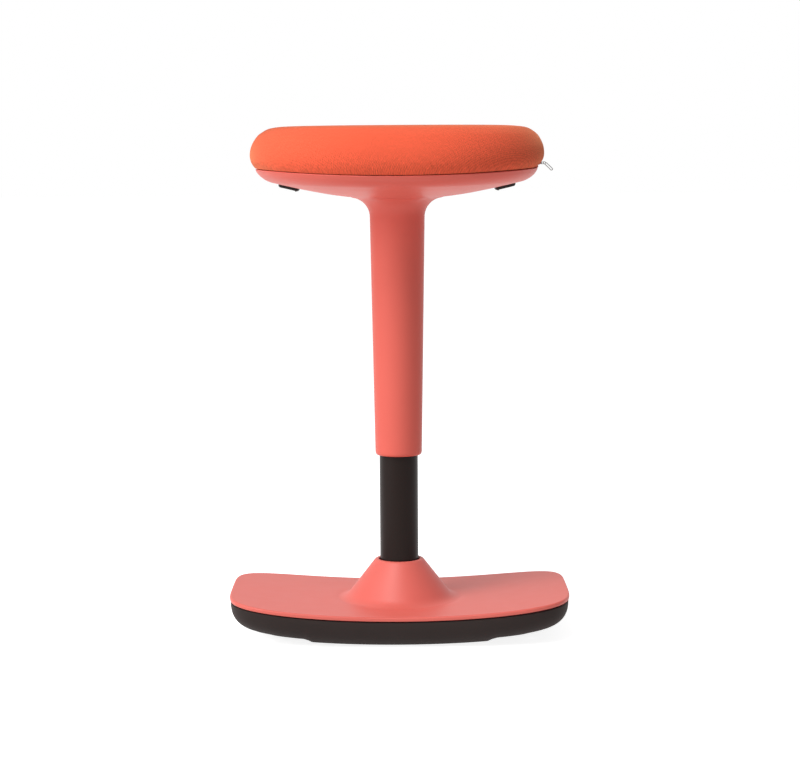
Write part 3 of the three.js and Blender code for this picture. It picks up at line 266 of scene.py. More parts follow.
def work_on(piece):
    deselect_all()
    piece.select_set(True)
    bpy.context.view_layer.objects.active = piece


def edit(piece):
    """The piece's mesh in edit mode with nothing selected."""
    work_on(piece)
    bpy.ops.object.mode_set(mode="EDIT")
    bpy.ops.mesh.select_all(action="DESELECT")
    return bmesh.from_edit_mesh(piece.data)


def pick(piece, wanted, kind="VERT"):
    """Selects what wanted says yes to, by the middle of each vertex, edge or face."""
    bpy.ops.mesh.select_mode(type=kind)
    bpy.ops.mesh.select_all(action="DESELECT")
    mesh = bmesh.from_edit_mesh(piece.data)
    parts = {"VERT": mesh.verts, "EDGE": mesh.edges, "FACE": mesh.faces}[kind]
    for part in parts:
        corners = [part] if kind == "VERT" else part.verts
        middle = sum((corner.co for corner in corners), Vector()) / len(corners)
        part.select_set(bool(wanted(middle, part)))
    mesh.select_flush_mode()
    bmesh.update_edit_mesh(piece.data)


def done(piece, smooth_angle=PLAIN_EDGE_ANGLE):
    """Faces outwards, soft shading below an angle, and back to object mode."""
    bpy.ops.mesh.select_all(action="SELECT")
    bpy.ops.mesh.normals_make_consistent(inside=False)
    bpy.ops.object.mode_set(mode="OBJECT")
    smooth(piece, smooth_angle)
    return piece


def smooth(piece, smooth_angle=PLAIN_EDGE_ANGLE):
    work_on(piece)
    bpy.ops.object.shade_smooth_by_angle(angle=math.radians(smooth_angle))


def settle(piece):
    """Puts the piece's place into its mesh."""
    work_on(piece)
    bpy.ops.object.transform_apply(location=True, rotation=True, scale=True)


def modify(piece, kind, **values):
    """Adds a modifier and applies it."""
    work_on(piece)
    modifier = piece.modifiers.new(kind.lower(), kind)
    for key, value in values.items():
        setattr(modifier, key, value)
    bpy.ops.object.modifier_apply(modifier=modifier.name)


def hide_away(piece):
    bpy.data.objects.remove(piece)


# Rings of a moulded shell

def rise(distance, radius):
    return distance * distance / (2 * radius)


def plan_point(half_width, half_depth, squareness, angle):
    """Point on a rounded rectangle or full oval."""
    across, along = math.cos(angle), math.sin(angle)
    reach = (abs(across) ** squareness + abs(along) ** squareness) ** (-1 / squareness)
    return half_width * reach * across, half_depth * reach * along


def mix(low, high, share):
    return low + (high - low) * share


def ring_tube(name, facets, stations, capped=False):
    """A circle drawn up into a tube with one ring for each station, then set ring by ring.
    A station gives the place of a ring's point at an angle. The ends are capped or joined."""
    deselect_all()
    bpy.ops.mesh.primitive_circle_add(vertices=facets, radius=1)
    piece = bpy.context.object
    piece.name = name
    edit(piece)
    bpy.ops.mesh.select_all(action="SELECT")
    for _ in stations[1:]:
        bpy.ops.mesh.extrude_edges_move(TRANSFORM_OT_translate={"value": (0, 0, 1)})
    last = len(stations) - 1

    def at_level(level):
        return lambda middle, part: abs(middle.z - level) < RING_LEVEL_REACH

    if capped:
        for level in (0, last):
            pick(piece, at_level(level), "EDGE")
            bpy.ops.mesh.edge_face_add()
    else:
        pick(piece, lambda middle, part: at_level(0)(middle, part) or at_level(last)(middle, part), "EDGE")
        bpy.ops.mesh.bridge_edge_loops()
    mesh = bmesh.from_edit_mesh(piece.data)
    for vertex in mesh.verts:
        angle = math.atan2(vertex.co.y, vertex.co.x)
        vertex.co = stations[round(vertex.co.z)](angle)
    bmesh.update_edit_mesh(piece.data)
    return piece


def arc_shares(steps):
    return [step / steps for step in range(steps + 1)]


# Shapes that several pieces use

def cut_with(piece, cutter, operation="DIFFERENCE"):
    modify(piece, "BOOLEAN", operation=operation, object=cutter, solver="EXACT")
    hide_away(cutter)


def rod(name, radius, bottom, top, place=(0, 0), facets=32):
    deselect_all()
    bpy.ops.mesh.primitive_cylinder_add(vertices=facets, radius=radius, depth=top - bottom,
                                        location=(place[0], place[1], (top + bottom) / 2))
    piece = bpy.context.object
    piece.name = name
    settle(piece)
    return piece


def rounded_block(name, length, width, bottom, top, corner, x=0.0, steps=5):
    """Upright block with round corners."""
    deselect_all()
    bpy.ops.mesh.primitive_cube_add(size=1, location=(x, 0, (bottom + top) / 2),
                                    scale=(length, width, top - bottom))
    block = bpy.context.object
    block.name = name
    settle(block)
    edit(block)
    pick(block, lambda middle, edge: abs(edge.verts[0].co.z - edge.verts[1].co.z) > MM, "EDGE")
    bpy.ops.mesh.bevel(offset=corner, segments=steps)
    return done(block)


def joined(parts, softening=0.0):
    """One piece from several that touch, with its edges softened."""
    whole = parts[0]
    for part in parts[1:]:
        cut_with(whole, part, "UNION")
    if softening:
        modify(whole, "BEVEL", width=softening, segments=2, limit_method="ANGLE")
    smooth(whole)
    return whole


# Making the base

def tread_relief(x):
    """How far the underside steps up outside the middle pads, and again near the ends."""
    inner = min(max((abs(x) - TREAD_INNER_EDGE) / TREAD_INNER_SLOPE, 0), 1)
    outer = min(max((abs(x) - TREAD_OUTER_EDGE) / TREAD_OUTER_SLOPE, 0), 1)
    return inner * TREAD_INNER_STEP + outer * TREAD_OUTER_STEP


def base_station(radius=0.0, share=1.0, inset=0.0, height=0.0, curve=1.0, relief=0.0):
    def place(angle):
        edge_x, edge_y = plan_point(BASE_HALF_WIDTH - inset, BASE_HALF_DEPTH - inset, BASE_SQUARENESS, angle)
        x = mix(radius * math.cos(angle), edge_x, share)
        y = mix(radius * math.sin(angle), edge_y, share)
        return Vector((x, y, height + curve * rise(x, ROCKER_RADIUS) + relief * tread_relief(x)))
    return place


def base_shell():
    """Coral plate with a rounded lip, drawn up into the cone round the column."""
    flank = math.atan2(1, CONE_RUN_SHARE)
    rim_foot = CONE_TOP - CONE_RIM_ROUND * (1 - math.cos(flank))
    foot_radius = (CONE_RIM_RADIUS + CONE_RUN_SHARE * (rim_foot - PLATE_TOP)
                   + CONE_FOOT_ROUND * math.tan(flank / 2))
    foot_centre = PLATE_TOP + CONE_FOOT_ROUND
    wall_run = WALL / math.sin(flank)
    plate_floor = PLATE_TOP - WALL
    tongue_inner = TONGUE_INSET + WALL
    collar_foot = rim_foot - CONE_COLLAR_DEPTH

    def round_ring(radius, height, curve=0.0):
        return base_station(radius, 0, 0, height, curve)

    def foot_ring(share, wall=0.0):
        reach = CONE_FOOT_ROUND + wall
        return round_ring(foot_radius - reach * math.sin(flank * share),
                          foot_centre - reach * math.cos(flank * share), (1 - share) ** 2)

    lip = [base_station(inset=LIP_ROUND * (1 - math.cos(QUARTER * share)),
                        height=PLATE_TOP - LIP_ROUND * (1 - math.sin(QUARTER * share)))
           for share in arc_shares(LIP_STEPS)]
    plate = [base_station(foot_radius, share, LIP_ROUND, PLATE_TOP) for share in PLATE_SHARES]
    foot = [foot_ring(share) for share in arc_shares(CONE_FOOT_STEPS)]
    middle_flank = (foot_centre - CONE_FOOT_ROUND * math.cos(flank) + rim_foot) / 2
    sides = [round_ring(CONE_RIM_RADIUS + CONE_RUN_SHARE * (rim_foot - middle_flank), middle_flank)]
    rim = [round_ring(CONE_RIM_RADIUS - CONE_RIM_ROUND * (math.sin(flank) - math.sin(flank * (1 - share))),
                      CONE_TOP - CONE_RIM_ROUND * (1 - math.cos(flank * (1 - share))))
           for share in arc_shares(CONE_RIM_STEPS)]
    mouth = [round_ring(CONE_MOUTH_RADIUS + out, CONE_TOP - down) for out, down in MOUTH_EDGE]
    mouth += [round_ring(CONE_MOUTH_RADIUS, collar_foot),
              round_ring(CONE_RIM_RADIUS + CONE_RUN_SHARE * (rim_foot - collar_foot) - wall_run, collar_foot)]
    mouth += [foot_ring(share, WALL) for share in (1, 0.66, 0.33)]
    under = [base_station(foot_radius, share, tongue_inner, plate_floor)
             for share in (0, 0.33, 0.66, 1)]
    tongue = [base_station(inset=tongue_inner, height=LIP_BOTTOM - TONGUE_DROP),
              base_station(inset=TONGUE_INSET, height=LIP_BOTTOM - TONGUE_DROP),
              base_station(inset=TONGUE_INSET, height=LIP_BOTTOM)]
    tongue += [base_station(inset=inset, height=LIP_BOTTOM + up) for inset, up in LIP_UNDERSIDE]
    shell = ring_tube("base_cover", BASE_FACETS, lip + plate + foot + sides + rim + mouth + under + tongue)
    done(shell, SOFT_EDGE_ANGLE)
    return shell


def tread_height(x):
    past = max(0, x - TREAD_CENTRE_EDGE)
    curve = rise(past, TREAD_RADIUS) + past * TREAD_CENTRE_EDGE / TREAD_RADIUS
    return curve + tread_relief(x)


def tread_block():
    """A long block whose underside has the tread's profile."""
    reach = BASE_HALF_WIDTH + TREAD_OVERRUN
    groove_end = TREAD_CENTRE_EDGE + TREAD_GROOVE_WIDTH
    half = [(TREAD_CENTRE_EDGE, 0), (TREAD_CENTRE_EDGE + TREAD_GROOVE_SLOPE, TREAD_GROOVE_DEPTH),
            (groove_end - TREAD_GROOVE_SLOPE, TREAD_GROOVE_DEPTH), (groove_end, tread_height(groove_end))]
    stops = [mix(groove_end, TREAD_INNER_EDGE, share) for share in (0.25, 0.5, 0.75, 1)]
    stops += [TREAD_INNER_EDGE + TREAD_INNER_SLOPE * share for share in (0.25, 0.5, 0.75, 1)]
    stops += [mix(stops[-1], TREAD_OUTER_EDGE, share) for share in (0.5, 1)]
    stops += [TREAD_OUTER_EDGE + TREAD_OUTER_SLOPE * share for share in (0.5, 1)]
    stops += [mix(stops[-1], reach, share) for share in (0.5, 1)]
    half += [(x, tread_height(x)) for x in stops]
    outline = half + [(reach, TREAD_BLOCK_TOP)]
    outline += [(-x, z) for x, z in reversed(outline)]
    deselect_all()
    bpy.ops.mesh.primitive_circle_add(vertices=len(outline), radius=1, fill_type="NGON",
                                      location=(0, -TREAD_BLOCK_HALF_DEPTH, 0), rotation=(QUARTER, 0, 0))
    block = bpy.context.object
    settle(block)
    mesh = edit(block)
    loop = mesh.faces[:][0].verts
    for vertex, (x, z) in zip(loop, outline):
        vertex.co = (x, -TREAD_BLOCK_HALF_DEPTH, z)
    bmesh.update_edit_mesh(block.data)
    bpy.ops.mesh.select_all(action="SELECT")
    across = (0, 2 * TREAD_BLOCK_HALF_DEPTH, 0)
    bpy.ops.mesh.extrude_region_move(TRANSFORM_OT_translate={"value": across})
    return done(block)


def sole_screw_places():
    return [(x, y) for x in (SOLE_SCREW_X, -SOLE_SCREW_X) for y in (SOLE_SCREW_Y, -SOLE_SCREW_Y)]


def rocker_sole():
    """Black rubber tray with a round tucked side and a stepped tread."""
    def tucked(share):
        inwards = 1 - math.cos(QUARTER * share) ** SOLE_TUCK_POWER
        down = math.sin(QUARTER * share) ** SOLE_TUCK_POWER
        return base_station(inset=SOLE_INSET + SOLE_TUCK * inwards, height=SOLE_TOP * (1 - down),
                            curve=1 - SOLE_FLATTER * down, relief=down)

    tuck = [tucked(share) for share in TUCK_SHARES]
    wall = [base_station(inset=SOLE_INSET + inset, height=SOLE_TOP - drop) for inset, drop in SOLE_EDGE]
    inside = TONGUE_INSET - SOLE_FIT
    hollow = [
        base_station(inset=inside, height=SOLE_TOP),
        base_station(inset=inside, height=LIP_BOTTOM - TONGUE_DROP - SOLE_FIT),
        base_station(inset=inside + SOLE_WALL * SOLE_CORNER_WALLS, height=SOLE_FLOOR + SOLE_WALL),
        base_station(inset=SOLE_TUCK * SOLE_FLAT_SHARE, height=SOLE_FLOOR),
    ]
    start = base_station(inset=SOLE_INSET + SOLE_TUCK, height=-SOLE_SPARE, curve=0)
    sole = ring_tube("sole", BASE_FACETS, [start] + tuck + wall + hollow, capped=True)
    done(sole)
    cut_with(sole, tread_block(), "INTERSECT")
    recess_top = tread_height(SOLE_SCREW_X) + SOLE_RECESS_DEPTH
    for place in sole_screw_places():
        cut_with(sole, rod("recess", SOLE_RECESS_RADIUS, -SOLE_SPARE, recess_top, place))
    smooth(sole, CRISP_EDGE_ANGLE)
    return sole


# Making the standpipe

def standpipe():
    """Powder-coated tube, open at the top."""
    tube = rod("standpipe_tube", TUBE_RADIUS, TUBE_BOTTOM, TUBE_TOP, facets=TUBE_FACETS)
    edit(tube)
    pick(tube, lambda middle, face: face.normal.z > 0.5, "FACE")
    bpy.ops.mesh.inset(thickness=TUBE_WALL)
    down_the_bore = (0, 0, TUBE_BOTTOM + TUBE_FLOOR - TUBE_TOP)
    bpy.ops.mesh.extrude_region_move(TRANSFORM_OT_translate={"value": down_the_bore})
    pick(tube, lambda middle, edge: middle.z > TUBE_TOP - MM and len(edge.link_faces) == 2
         and abs(edge.calc_face_angle(0)) > 1, "EDGE")
    bpy.ops.mesh.bevel(offset=TUBE_EDGE_ROUND, segments=3)
    return done(tube)


# Making the seat shell

def rim_curl(x):
    """The rim turns up a little at the zip's end."""
    return RIM_CURL * min(max((x - RIM_HALF_WIDTH) / RIM_CURL_RUN + 1, 0), 1) ** 1.5


def seat_station(radius=None, share=1.0, inset=0.0, height=0.0, curl=0.0):
    def place(angle):
        if radius is not None:
            return Vector((radius * math.cos(angle), radius * math.sin(angle), height))
        edge_x, edge_y = plan_point(RIM_HALF_WIDTH - inset, RIM_HALF_DEPTH - inset, SEAT_SQUARENESS, angle)
        x = mix(NECK_RADIUS * math.cos(angle), edge_x, share)
        y = mix(NECK_RADIUS * math.sin(angle), edge_y, share)
        return Vector((x, y, height + rise(x, RIM_CURVE_RADIUS) + curl * rim_curl(x)))
    return place


def dish_height(share):
    return DISH_BOTTOM + DISH_RISE * share ** DISH_CURVE_SHARE


def seat_shell():
    """One moulding: rim, dish, round fillet and long tapered sleeve."""
    def neck(share, wall):
        reach = NECK_ROUND + wall
        return seat_station(radius=NECK_RADIUS - reach * math.cos(QUARTER * share),
                            height=NECK_FOOT + reach * math.sin(QUARTER * share))

    def sleeve(radius, height):
        return seat_station(radius=radius, height=height)

    corner_foot = dish_height(1 - RIM_ROUND / (RIM_HALF_WIDTH - NECK_RADIUS))

    def corner_ring(turn):
        inwards = 1 - math.sin(QUARTER * turn) ** RIM_CORNER_POWER
        down = math.cos(QUARTER * turn) ** RIM_CORNER_POWER
        return seat_station(inset=RIM_ROUND * inwards,
                            height=RIM_HEIGHT - (RIM_HEIGHT - corner_foot) * down, curl=turn)

    lip = [sleeve(SLEEVE_LIP_RADIUS - SLEEVE_LIP_ROUND * (1 - math.sin(QUARTER * share)),
                  SLEEVE_BOTTOM + SLEEVE_LIP_RISE * (1 - math.cos(QUARTER * share)))
           for share in arc_shares(SLEEVE_LIP_STEPS)[1:]]
    outside = [sleeve(mix(SLEEVE_LIP_RADIUS, SLEEVE_TOP_RADIUS, share),
                      mix(SLEEVE_BOTTOM + SLEEVE_LIP_RISE, NECK_FOOT, share))
               for share in arc_shares(SLEEVE_STEPS)[1:]]
    fillet = [neck(share, 0) for share in arc_shares(NECK_STEPS)[1:-1]]
    dish = [seat_station(share=share, height=dish_height(share)) for share in DISH_SHARES]
    corner = [corner_ring(turn) for turn in CORNER_TURNS]
    rim = [seat_station(inset=inset, height=RIM_HEIGHT - drop, curl=1) for inset, drop in RIM_EDGE]
    inside = [seat_station(inset=WALL + RIM_ROUND, height=corner_foot + WALL)]
    inside += [seat_station(share=share, height=dish_height(share) + WALL) for share in (0.6, 0.3, 0)]
    inner_fillet = [neck(share, WALL) for share in (0.75, 0.5, 0.25)]
    bore = [sleeve(SLEEVE_TOP_RADIUS - WALL, NECK_FOOT),
            sleeve(SLEEVE_LIP_RADIUS - WALL, SLEEVE_BOTTOM + BORE_CHAMFER_RISE),
            sleeve(SLEEVE_LIP_RADIUS - WALL + BORE_CHAMFER, SLEEVE_BOTTOM + BORE_MOUTH_RISE)]
    shell = ring_tube("seat_moulding", PLAN_FACETS,
                      lip + outside + fillet + dish + corner + rim + inside + inner_fillet + bore)
    done(shell, SOFT_EDGE_ANGLE)
    for side in (1, -1):
        cut_with(shell, rounded_block("slot", PAD_LENGTH + 2 * PAD_CLEARANCE, PAD_WIDTH + 2 * PAD_CLEARANCE,
                                      SLOT_BOTTOM, SLOT_TOP, PAD_CORNER, side * PAD_X))
    smooth(shell, SOFT_EDGE_ANGLE)
    return shell


# Making the finger pads

def pad_underside(x):
    share = (abs(x) - NECK_RADIUS) / (RIM_HALF_WIDTH - NECK_RADIUS)
    return dish_height(share) + rise(x, RIM_CURVE_RADIUS) - PAD_PROUD


def finger_pad(name, side):
    """Soft-edged grip at a lever's end, which follows the dish and has grooves for the finger."""
    pad = rounded_block(name, PAD_LENGTH, PAD_WIDTH, PAD_TOP - PAD_HEIGHT, PAD_TOP, PAD_CORNER, side * PAD_X)
    mesh = edit(pad)
    for vertex in mesh.verts:
        if vertex.co.z < PAD_TOP - MM:
            vertex.co.z = pad_underside(vertex.co.x)
    bmesh.update_edit_mesh(pad.data)
    pick(pad, lambda middle, face: face.normal.z < MOSTLY_DOWN, "FACE")
    bpy.ops.mesh.region_to_loop()
    bpy.ops.mesh.bevel(offset=PAD_EDGE_ROUND, segments=5)
    pick(pad, lambda middle, face: face.normal.z < FACING_DOWN and face.calc_area() > PAD_FACE_AREA, "FACE")
    bpy.ops.mesh.inset(thickness=PAD_FACE_INSET)

    def in_grooved_length(middle, face, half_width):
        return (face.normal.z < FACING_DOWN and abs(middle.y) < half_width
                and abs(abs(middle.x) - PAD_X) < PAD_LENGTH / 2 - PAD_GROOVE_MARGIN)

    def on_face(middle, face):
        return in_grooved_length(middle, face, PAD_WIDTH / 2 - PAD_GROOVE_MARGIN)

    def on_groove(middle, face):
        step = (abs(middle.x) - PAD_X) / (PAD_GROOVE_PITCH / 2) - 0.5
        return in_grooved_length(middle, face, PAD_GROOVE_MARGIN) and round(step) % 2 == 0

    for step in PAD_GROOVE_STEPS:
        bpy.ops.mesh.bisect(plane_co=(side * (PAD_X + PAD_GROOVE_PITCH * step), 0, 0), plane_no=(1, 0, 0))
        pick(pad, on_face, "FACE")
    pick(pad, on_groove, "FACE")
    bpy.ops.mesh.extrude_region_move(TRANSFORM_OT_translate={"value": (0, 0, PAD_GROOVE_DEPTH)})
    return done(pad, CRISP_EDGE_ANGLE)


# Making the cushion

def cushion_station(inset, level, above=0.0):
    """The cover's cut at a level between seam and crown, fuller at the shoulder on the zip's side."""
    def place(angle):
        fuller = FULL_SIDE * level ** 2 * max(math.cos(angle), 0) if inset < SHOULDER_REACH else 0
        half_width = CUSHION_HALF_WIDTH - inset + fuller
        x, y = plan_point(half_width, CUSHION_HALF_DEPTH - inset, SEAT_SQUARENESS, angle)
        height = mix(RIM_HEIGHT + rise(x, RIM_CURVE_RADIUS), CROWN_HEIGHT, level)
        height += rim_curl(x) * (1 - level) ** CURL_FADE
        return Vector((x, y, height + above))
    return place


def finer(points, steps):
    """A smooth curve through given points, with so many steps from one to the next."""
    points = [Vector(point) for point in points]
    ends = [points[0]] + points + [points[-1]]
    curve = []
    for before, start, end, after in zip(ends, ends[1:], ends[2:], ends[3:]):
        for step in range(steps):
            t = step / steps
            bend = (end - before) * t + (2 * before - 5 * start + 4 * end - after) * t * t
            curve.append(start + 0.5 * (bend + (3 * start - before - 3 * end + after) * t ** 3))
    return curve + [points[-1]]


def seam_height(x):
    return RIM_HEIGHT + rise(x, RIM_CURVE_RADIUS) + rim_curl(x)


def cushion():
    """Foam pad in its fabric cover, puffed by a short cloth simulation."""
    stations = [cushion_station(CUSHION_BULGE + inset, 0, SEAM_CLEARANCE) for inset in FLAT_INSETS]
    stations += [cushion_station(CUSHION_BULGE * share, level)
                 for share, level in finer(SIDE_SHARES, SIDE_STEPS)]
    form = ring_tube("form", CUSHION_FACETS, stations, capped=True)
    done(form)
    deselect_all()
    pad = form.copy()
    pad.data = form.data.copy()
    pad.name = "cushion"
    bpy.context.collection.objects.link(pad)
    modify(pad, "REMESH", mode="VOXEL", voxel_size=VOXEL)
    puff_up(pad)
    modify(pad, "SUBSURF", levels=1, render_levels=1)
    draw_in(pad, form)
    smooth(pad, CLOTH_EDGE_ANGLE)
    lay_weave(pad)
    return pad


def puff_up(pad):
    """Swells the pad against a held underside, with no point moved past the cap."""
    scene = bpy.context.scene
    held = pad.vertex_groups.new(name="held")
    on_board = [v.index for v in pad.data.vertices if v.co.z < seam_height(v.co.x) + HELD_HEIGHT]
    held.add(on_board, 1, "REPLACE")
    before = [v.co.copy() for v in pad.data.vertices]
    outwards = [v.normal.copy() for v in pad.data.vertices]
    work_on(pad)
    cloth = pad.modifiers.new("puff", "CLOTH")
    cloth.settings.quality = CLOTH_QUALITY
    cloth.settings.use_pressure = True
    cloth.settings.uniform_pressure_force = PRESSURE
    cloth.settings.effector_weights.gravity = 0
    cloth.settings.vertex_group_mass = "held"
    for step in range(1, CLOTH_FRAMES + 1):
        scene.frame_set(step)
    bpy.ops.object.modifier_apply(modifier="puff")
    for vertex, start, outward in zip(pad.data.vertices, before, outwards):
        move = vertex.co - start
        sunk = min(move.dot(outward) + FOAM_GIVE, 0)
        move -= outward * sunk
        if move.length > PUFF_CAP:
            move *= PUFF_CAP / move.length
        vertex.co = start + move
    scene.frame_set(1)
    pad.vertex_groups.clear()


def draw_in(pad, form):
    """Draws the swollen pad most of the way to its cover's cut, sitting on the shell's rim."""
    loose = [vertex.co.copy() for vertex in pad.data.vertices]
    modify(pad, "SHRINKWRAP", target=form, wrap_method="NEAREST_SURFACEPOINT")
    for vertex, place in zip(pad.data.vertices, loose):
        vertex.co = place.lerp(vertex.co, COVER_PULL)
        vertex.co.z = max(vertex.co.z, seam_height(vertex.co.x) + SEAM_CLEARANCE)
    hide_away(form)


def lay_weave(pad):
    """UV map in metres of cloth, spread from the crown over the sides."""
    weave = pad.data.uv_layers.new(name="weave")
    for loop in pad.data.loops:
        place = pad.data.vertices[loop.vertex_index].co
        out = Vector((place.x, place.y))
        along = out.length + max(0, CROWN_HEIGHT - place.z)
        weave.data[loop.index].uv = out.normalized() * along if out.length > 0 else out


# Making the zip slider and pull

def zip_slider():
    """Slider with softened edges and its upright bar between two lugs."""
    bottom = BAR_Z - SLIDER_HEIGHT / 2
    top = BAR_Z + SLIDER_HEIGHT / 2
    middle = BAR_X - SLIDER_BACK - SLIDER_THICKNESS / 2
    parts = [rounded_block("slider", SLIDER_THICKNESS, SLIDER_LENGTH, bottom, top, SLIDER_CORNER, middle, 3),
             rod("bar", BAR_RADIUS, bottom, top, (BAR_X, 0), 16)]
    for low in (bottom, top - LUG_HEIGHT):
        parts.append(rounded_block("lug", LUG_LENGTH, LUG_WIDTH, low, low + LUG_HEIGHT, LUG_CORNER,
                                   BAR_X - LUG_BACK, 2))
    return joined(parts, SLIDER_SOFTENING)


def zip_pull():
    """Link round the bar and the slotted tab that hangs from it."""
    deselect_all()
    bpy.ops.mesh.primitive_plane_add(size=1)
    tab = bpy.context.object
    tab.scale = (PULL_LENGTH, PULL_WIDTH, 1)
    settle(tab)
    edit(tab)
    bpy.ops.mesh.select_all(action="SELECT")
    bpy.ops.mesh.bevel(offset=PULL_WIDTH * PULL_END_SHARE, segments=10, affect="VERTICES")
    pick(tab, lambda middle, face: True, "FACE")
    bpy.ops.mesh.inset(thickness=PULL_WIDTH * (1 - PULL_SLOT_SHARE) / 2)
    pick(tab, lambda middle, face: middle.length < PULL_SLOT_REACH, "FACE")
    bpy.ops.mesh.delete(type="FACE")
    bpy.ops.object.mode_set(mode="OBJECT")
    modify(tab, "SOLIDIFY", thickness=PULL_THICKNESS, offset=0)
    modify(tab, "BEVEL", width=PULL_THICKNESS * PULL_EDGE_SHARE, segments=3, limit_method="ANGLE")
    droop = math.radians(PULL_DROOP)
    tab.rotation_euler = (QUARTER, droop, 0)
    tab.location = (BAR_X + PULL_START + PULL_LENGTH / 2 * math.cos(droop), 0,
                    BAR_Z - PULL_LENGTH / 2 * math.sin(droop))
    settle(tab)
    deselect_all()
    bpy.ops.mesh.primitive_torus_add(location=(BAR_X + LINK_OUT, 0, BAR_Z), rotation=(QUARTER, 0, 0),
                                     major_segments=32, minor_segments=10,
                                     major_radius=LINK_RADIUS, minor_radius=LINK_WIRE_RADIUS)
    link = bpy.context.object
    link.name = "pull_with_link"
    settle(link)
    return joined([link, tab])


# Making the finishes

def effect(name, inputs, outputs):
    """An empty shader node group with its named sockets."""
    tree = bpy.data.node_groups.new(name, "ShaderNodeTree")
    for label, value in inputs.items():
        kind = "NodeSocketColor" if isinstance(value, tuple) else "NodeSocketFloat"
        socket = tree.interface.new_socket(name=label, in_out="INPUT", socket_type=kind)
        socket.default_value = value
    tree.interface.new_socket(name="Vector", in_out="INPUT", socket_type="NodeSocketVector")
    for label in outputs:
        kind = "NodeSocketColor" if label == "Color" else "NodeSocketFloat"
        tree.interface.new_socket(name=label, in_out="OUTPUT", socket_type=kind)
    return tree, tree.nodes.new("NodeGroupInput").outputs, tree.nodes.new("NodeGroupOutput").inputs


def wire(tree, socket, value):
    if isinstance(value, bpy.types.NodeSocket):
        tree.links.new(socket, value)
    else:
        socket.default_value = value


def add_node(tree, kind, sockets=None, **settings):
    made = tree.nodes.new("ShaderNode" + kind)
    for key, value in settings.items():
        setattr(made, key, value)
    for key, value in (sockets or {}).items():
        wire(tree, made.inputs[key], value)
    return made


def calc(tree, operation, *values):
    made = add_node(tree, "Math", operation=operation)
    for socket, value in zip(made.inputs, values):
        wire(tree, socket, value)
    return made.outputs[0]


def noise_of(tree, vector, scale, detail=2.0, roughness=0.5):
    made = add_node(tree, "TexNoise", {"Vector": vector, "Scale": scale, "Detail": detail,
                                       "Roughness": roughness})
    return made.outputs["Fac"]


def toned(tree, colour, amount):
    """The colour made lighter or darker by an amount, with 1 for no change."""
    made = add_node(tree, "VectorMath", {0: colour}, operation="SCALE")
    wire(tree, made.inputs["Scale"], amount)
    return made.outputs[0]


def around(tree, value, swing, middle):
    """A value between 0 and 1 turned into a swing about a middle."""
    return calc(tree, "MULTIPLY_ADD", calc(tree, "SUBTRACT", value, 0.5), swing, middle)


def moulded_grain():
    """Spark-eroded mould texture with slow changes of tone, as on satin plastic and rubber."""
    tree, given, out = effect("moulded_grain", {
        "Colour": (0.5, 0.5, 0.5, 1), "Grain Scale": 1500.0, "Tone Change": 0.04,
        "Roughness": 0.5, "Roughness Change": 0.08,
    }, ["Color", "Roughness", "Height"])
    fine = noise_of(tree, given["Vector"], given["Grain Scale"], 3)
    slow = noise_of(tree, given["Vector"], TONE_CLOUD_SCALE, 3)
    marks = noise_of(tree, given["Vector"], HANDLING_MARK_SCALE, 4, 0.6)
    wire(tree, out["Color"], toned(tree, given["Colour"], around(tree, slow, given["Tone Change"], 1.0)))
    wire(tree, out["Roughness"], around(tree, marks, given["Roughness Change"], given["Roughness"]))
    wire(tree, out["Height"], fine)
    return tree


def twill_weave():
    """Uneven diagonal ribs of a twill, faint threads that cross them and a little fuzz. The colour follows
    this relief, as painted shade in its hollows and painted highlight on its raised threads, with slow random
    dye clouds.
    """
    tree, given, out = effect("twill_weave", {
        "Colour": (0.5, 0.5, 0.5, 1), "Rib Pitch": 0.0038, "Rib Share": 0.09, "Cross Share": 0.06,
        "Streak Share": 0.9, "Fuzz Share": 0.7, "Tone Change": 0.4,
    }, ["Color", "Height"])
    apart = add_node(tree, "SeparateXYZ", {"Vector": given["Vector"]})
    u, v = apart.outputs["X"], apart.outputs["Y"]
    turn = calc(tree, "DIVIDE", 2 * math.pi, given["Rib Pitch"])
    uneven = calc(tree, "SUBTRACT", noise_of(tree, given["Vector"], THREAD_WOBBLE_SCALE, 2), 0.5)
    wobble = calc(tree, "MULTIPLY", uneven, THREAD_WOBBLE)

    def thread(diagonal):
        return calc(tree, "SINE", calc(tree, "ADD", calc(tree, "MULTIPLY", diagonal, turn), wobble))

    rib = thread(calc(tree, "SUBTRACT", u, v))
    cross = thread(calc(tree, "ADD", u, v))
    fuzz = noise_of(tree, given["Vector"], FUZZ_SCALE, 2, 0.6)
    slant = add_node(tree, "Mapping", {"Vector": given["Vector"], "Scale": STREAK_STRETCH,
                                       "Rotation": (0, 0, math.radians(STREAK_SLANT))})
    streak = noise_of(tree, slant.outputs[0], STREAK_SCALE, 2, 0.5)
    relief = calc(tree, "MULTIPLY_ADD", rib, given["Rib Share"], 0.5)
    relief = calc(tree, "MULTIPLY_ADD", cross, given["Cross Share"], relief)
    relief = around(tree, streak, given["Streak Share"], relief)
    relief = around(tree, fuzz, given["Fuzz Share"], relief)
    wire(tree, out["Height"], relief)
    slow = calc(tree, "SUBTRACT", noise_of(tree, given["Vector"], DYE_CLOUD_SCALE, 3), 0.5)
    # Painted shade and highlight: the colour is darker where the weave's relief is low and lighter where it
    # is high; the dye clouds are random tone.
    shade = calc(tree, "MULTIPLY_ADD", slow, DYE_CHANGE, around(tree, relief, given["Tone Change"], 1.0))
    wire(tree, out["Color"], toned(tree, given["Colour"], shade))
    return tree


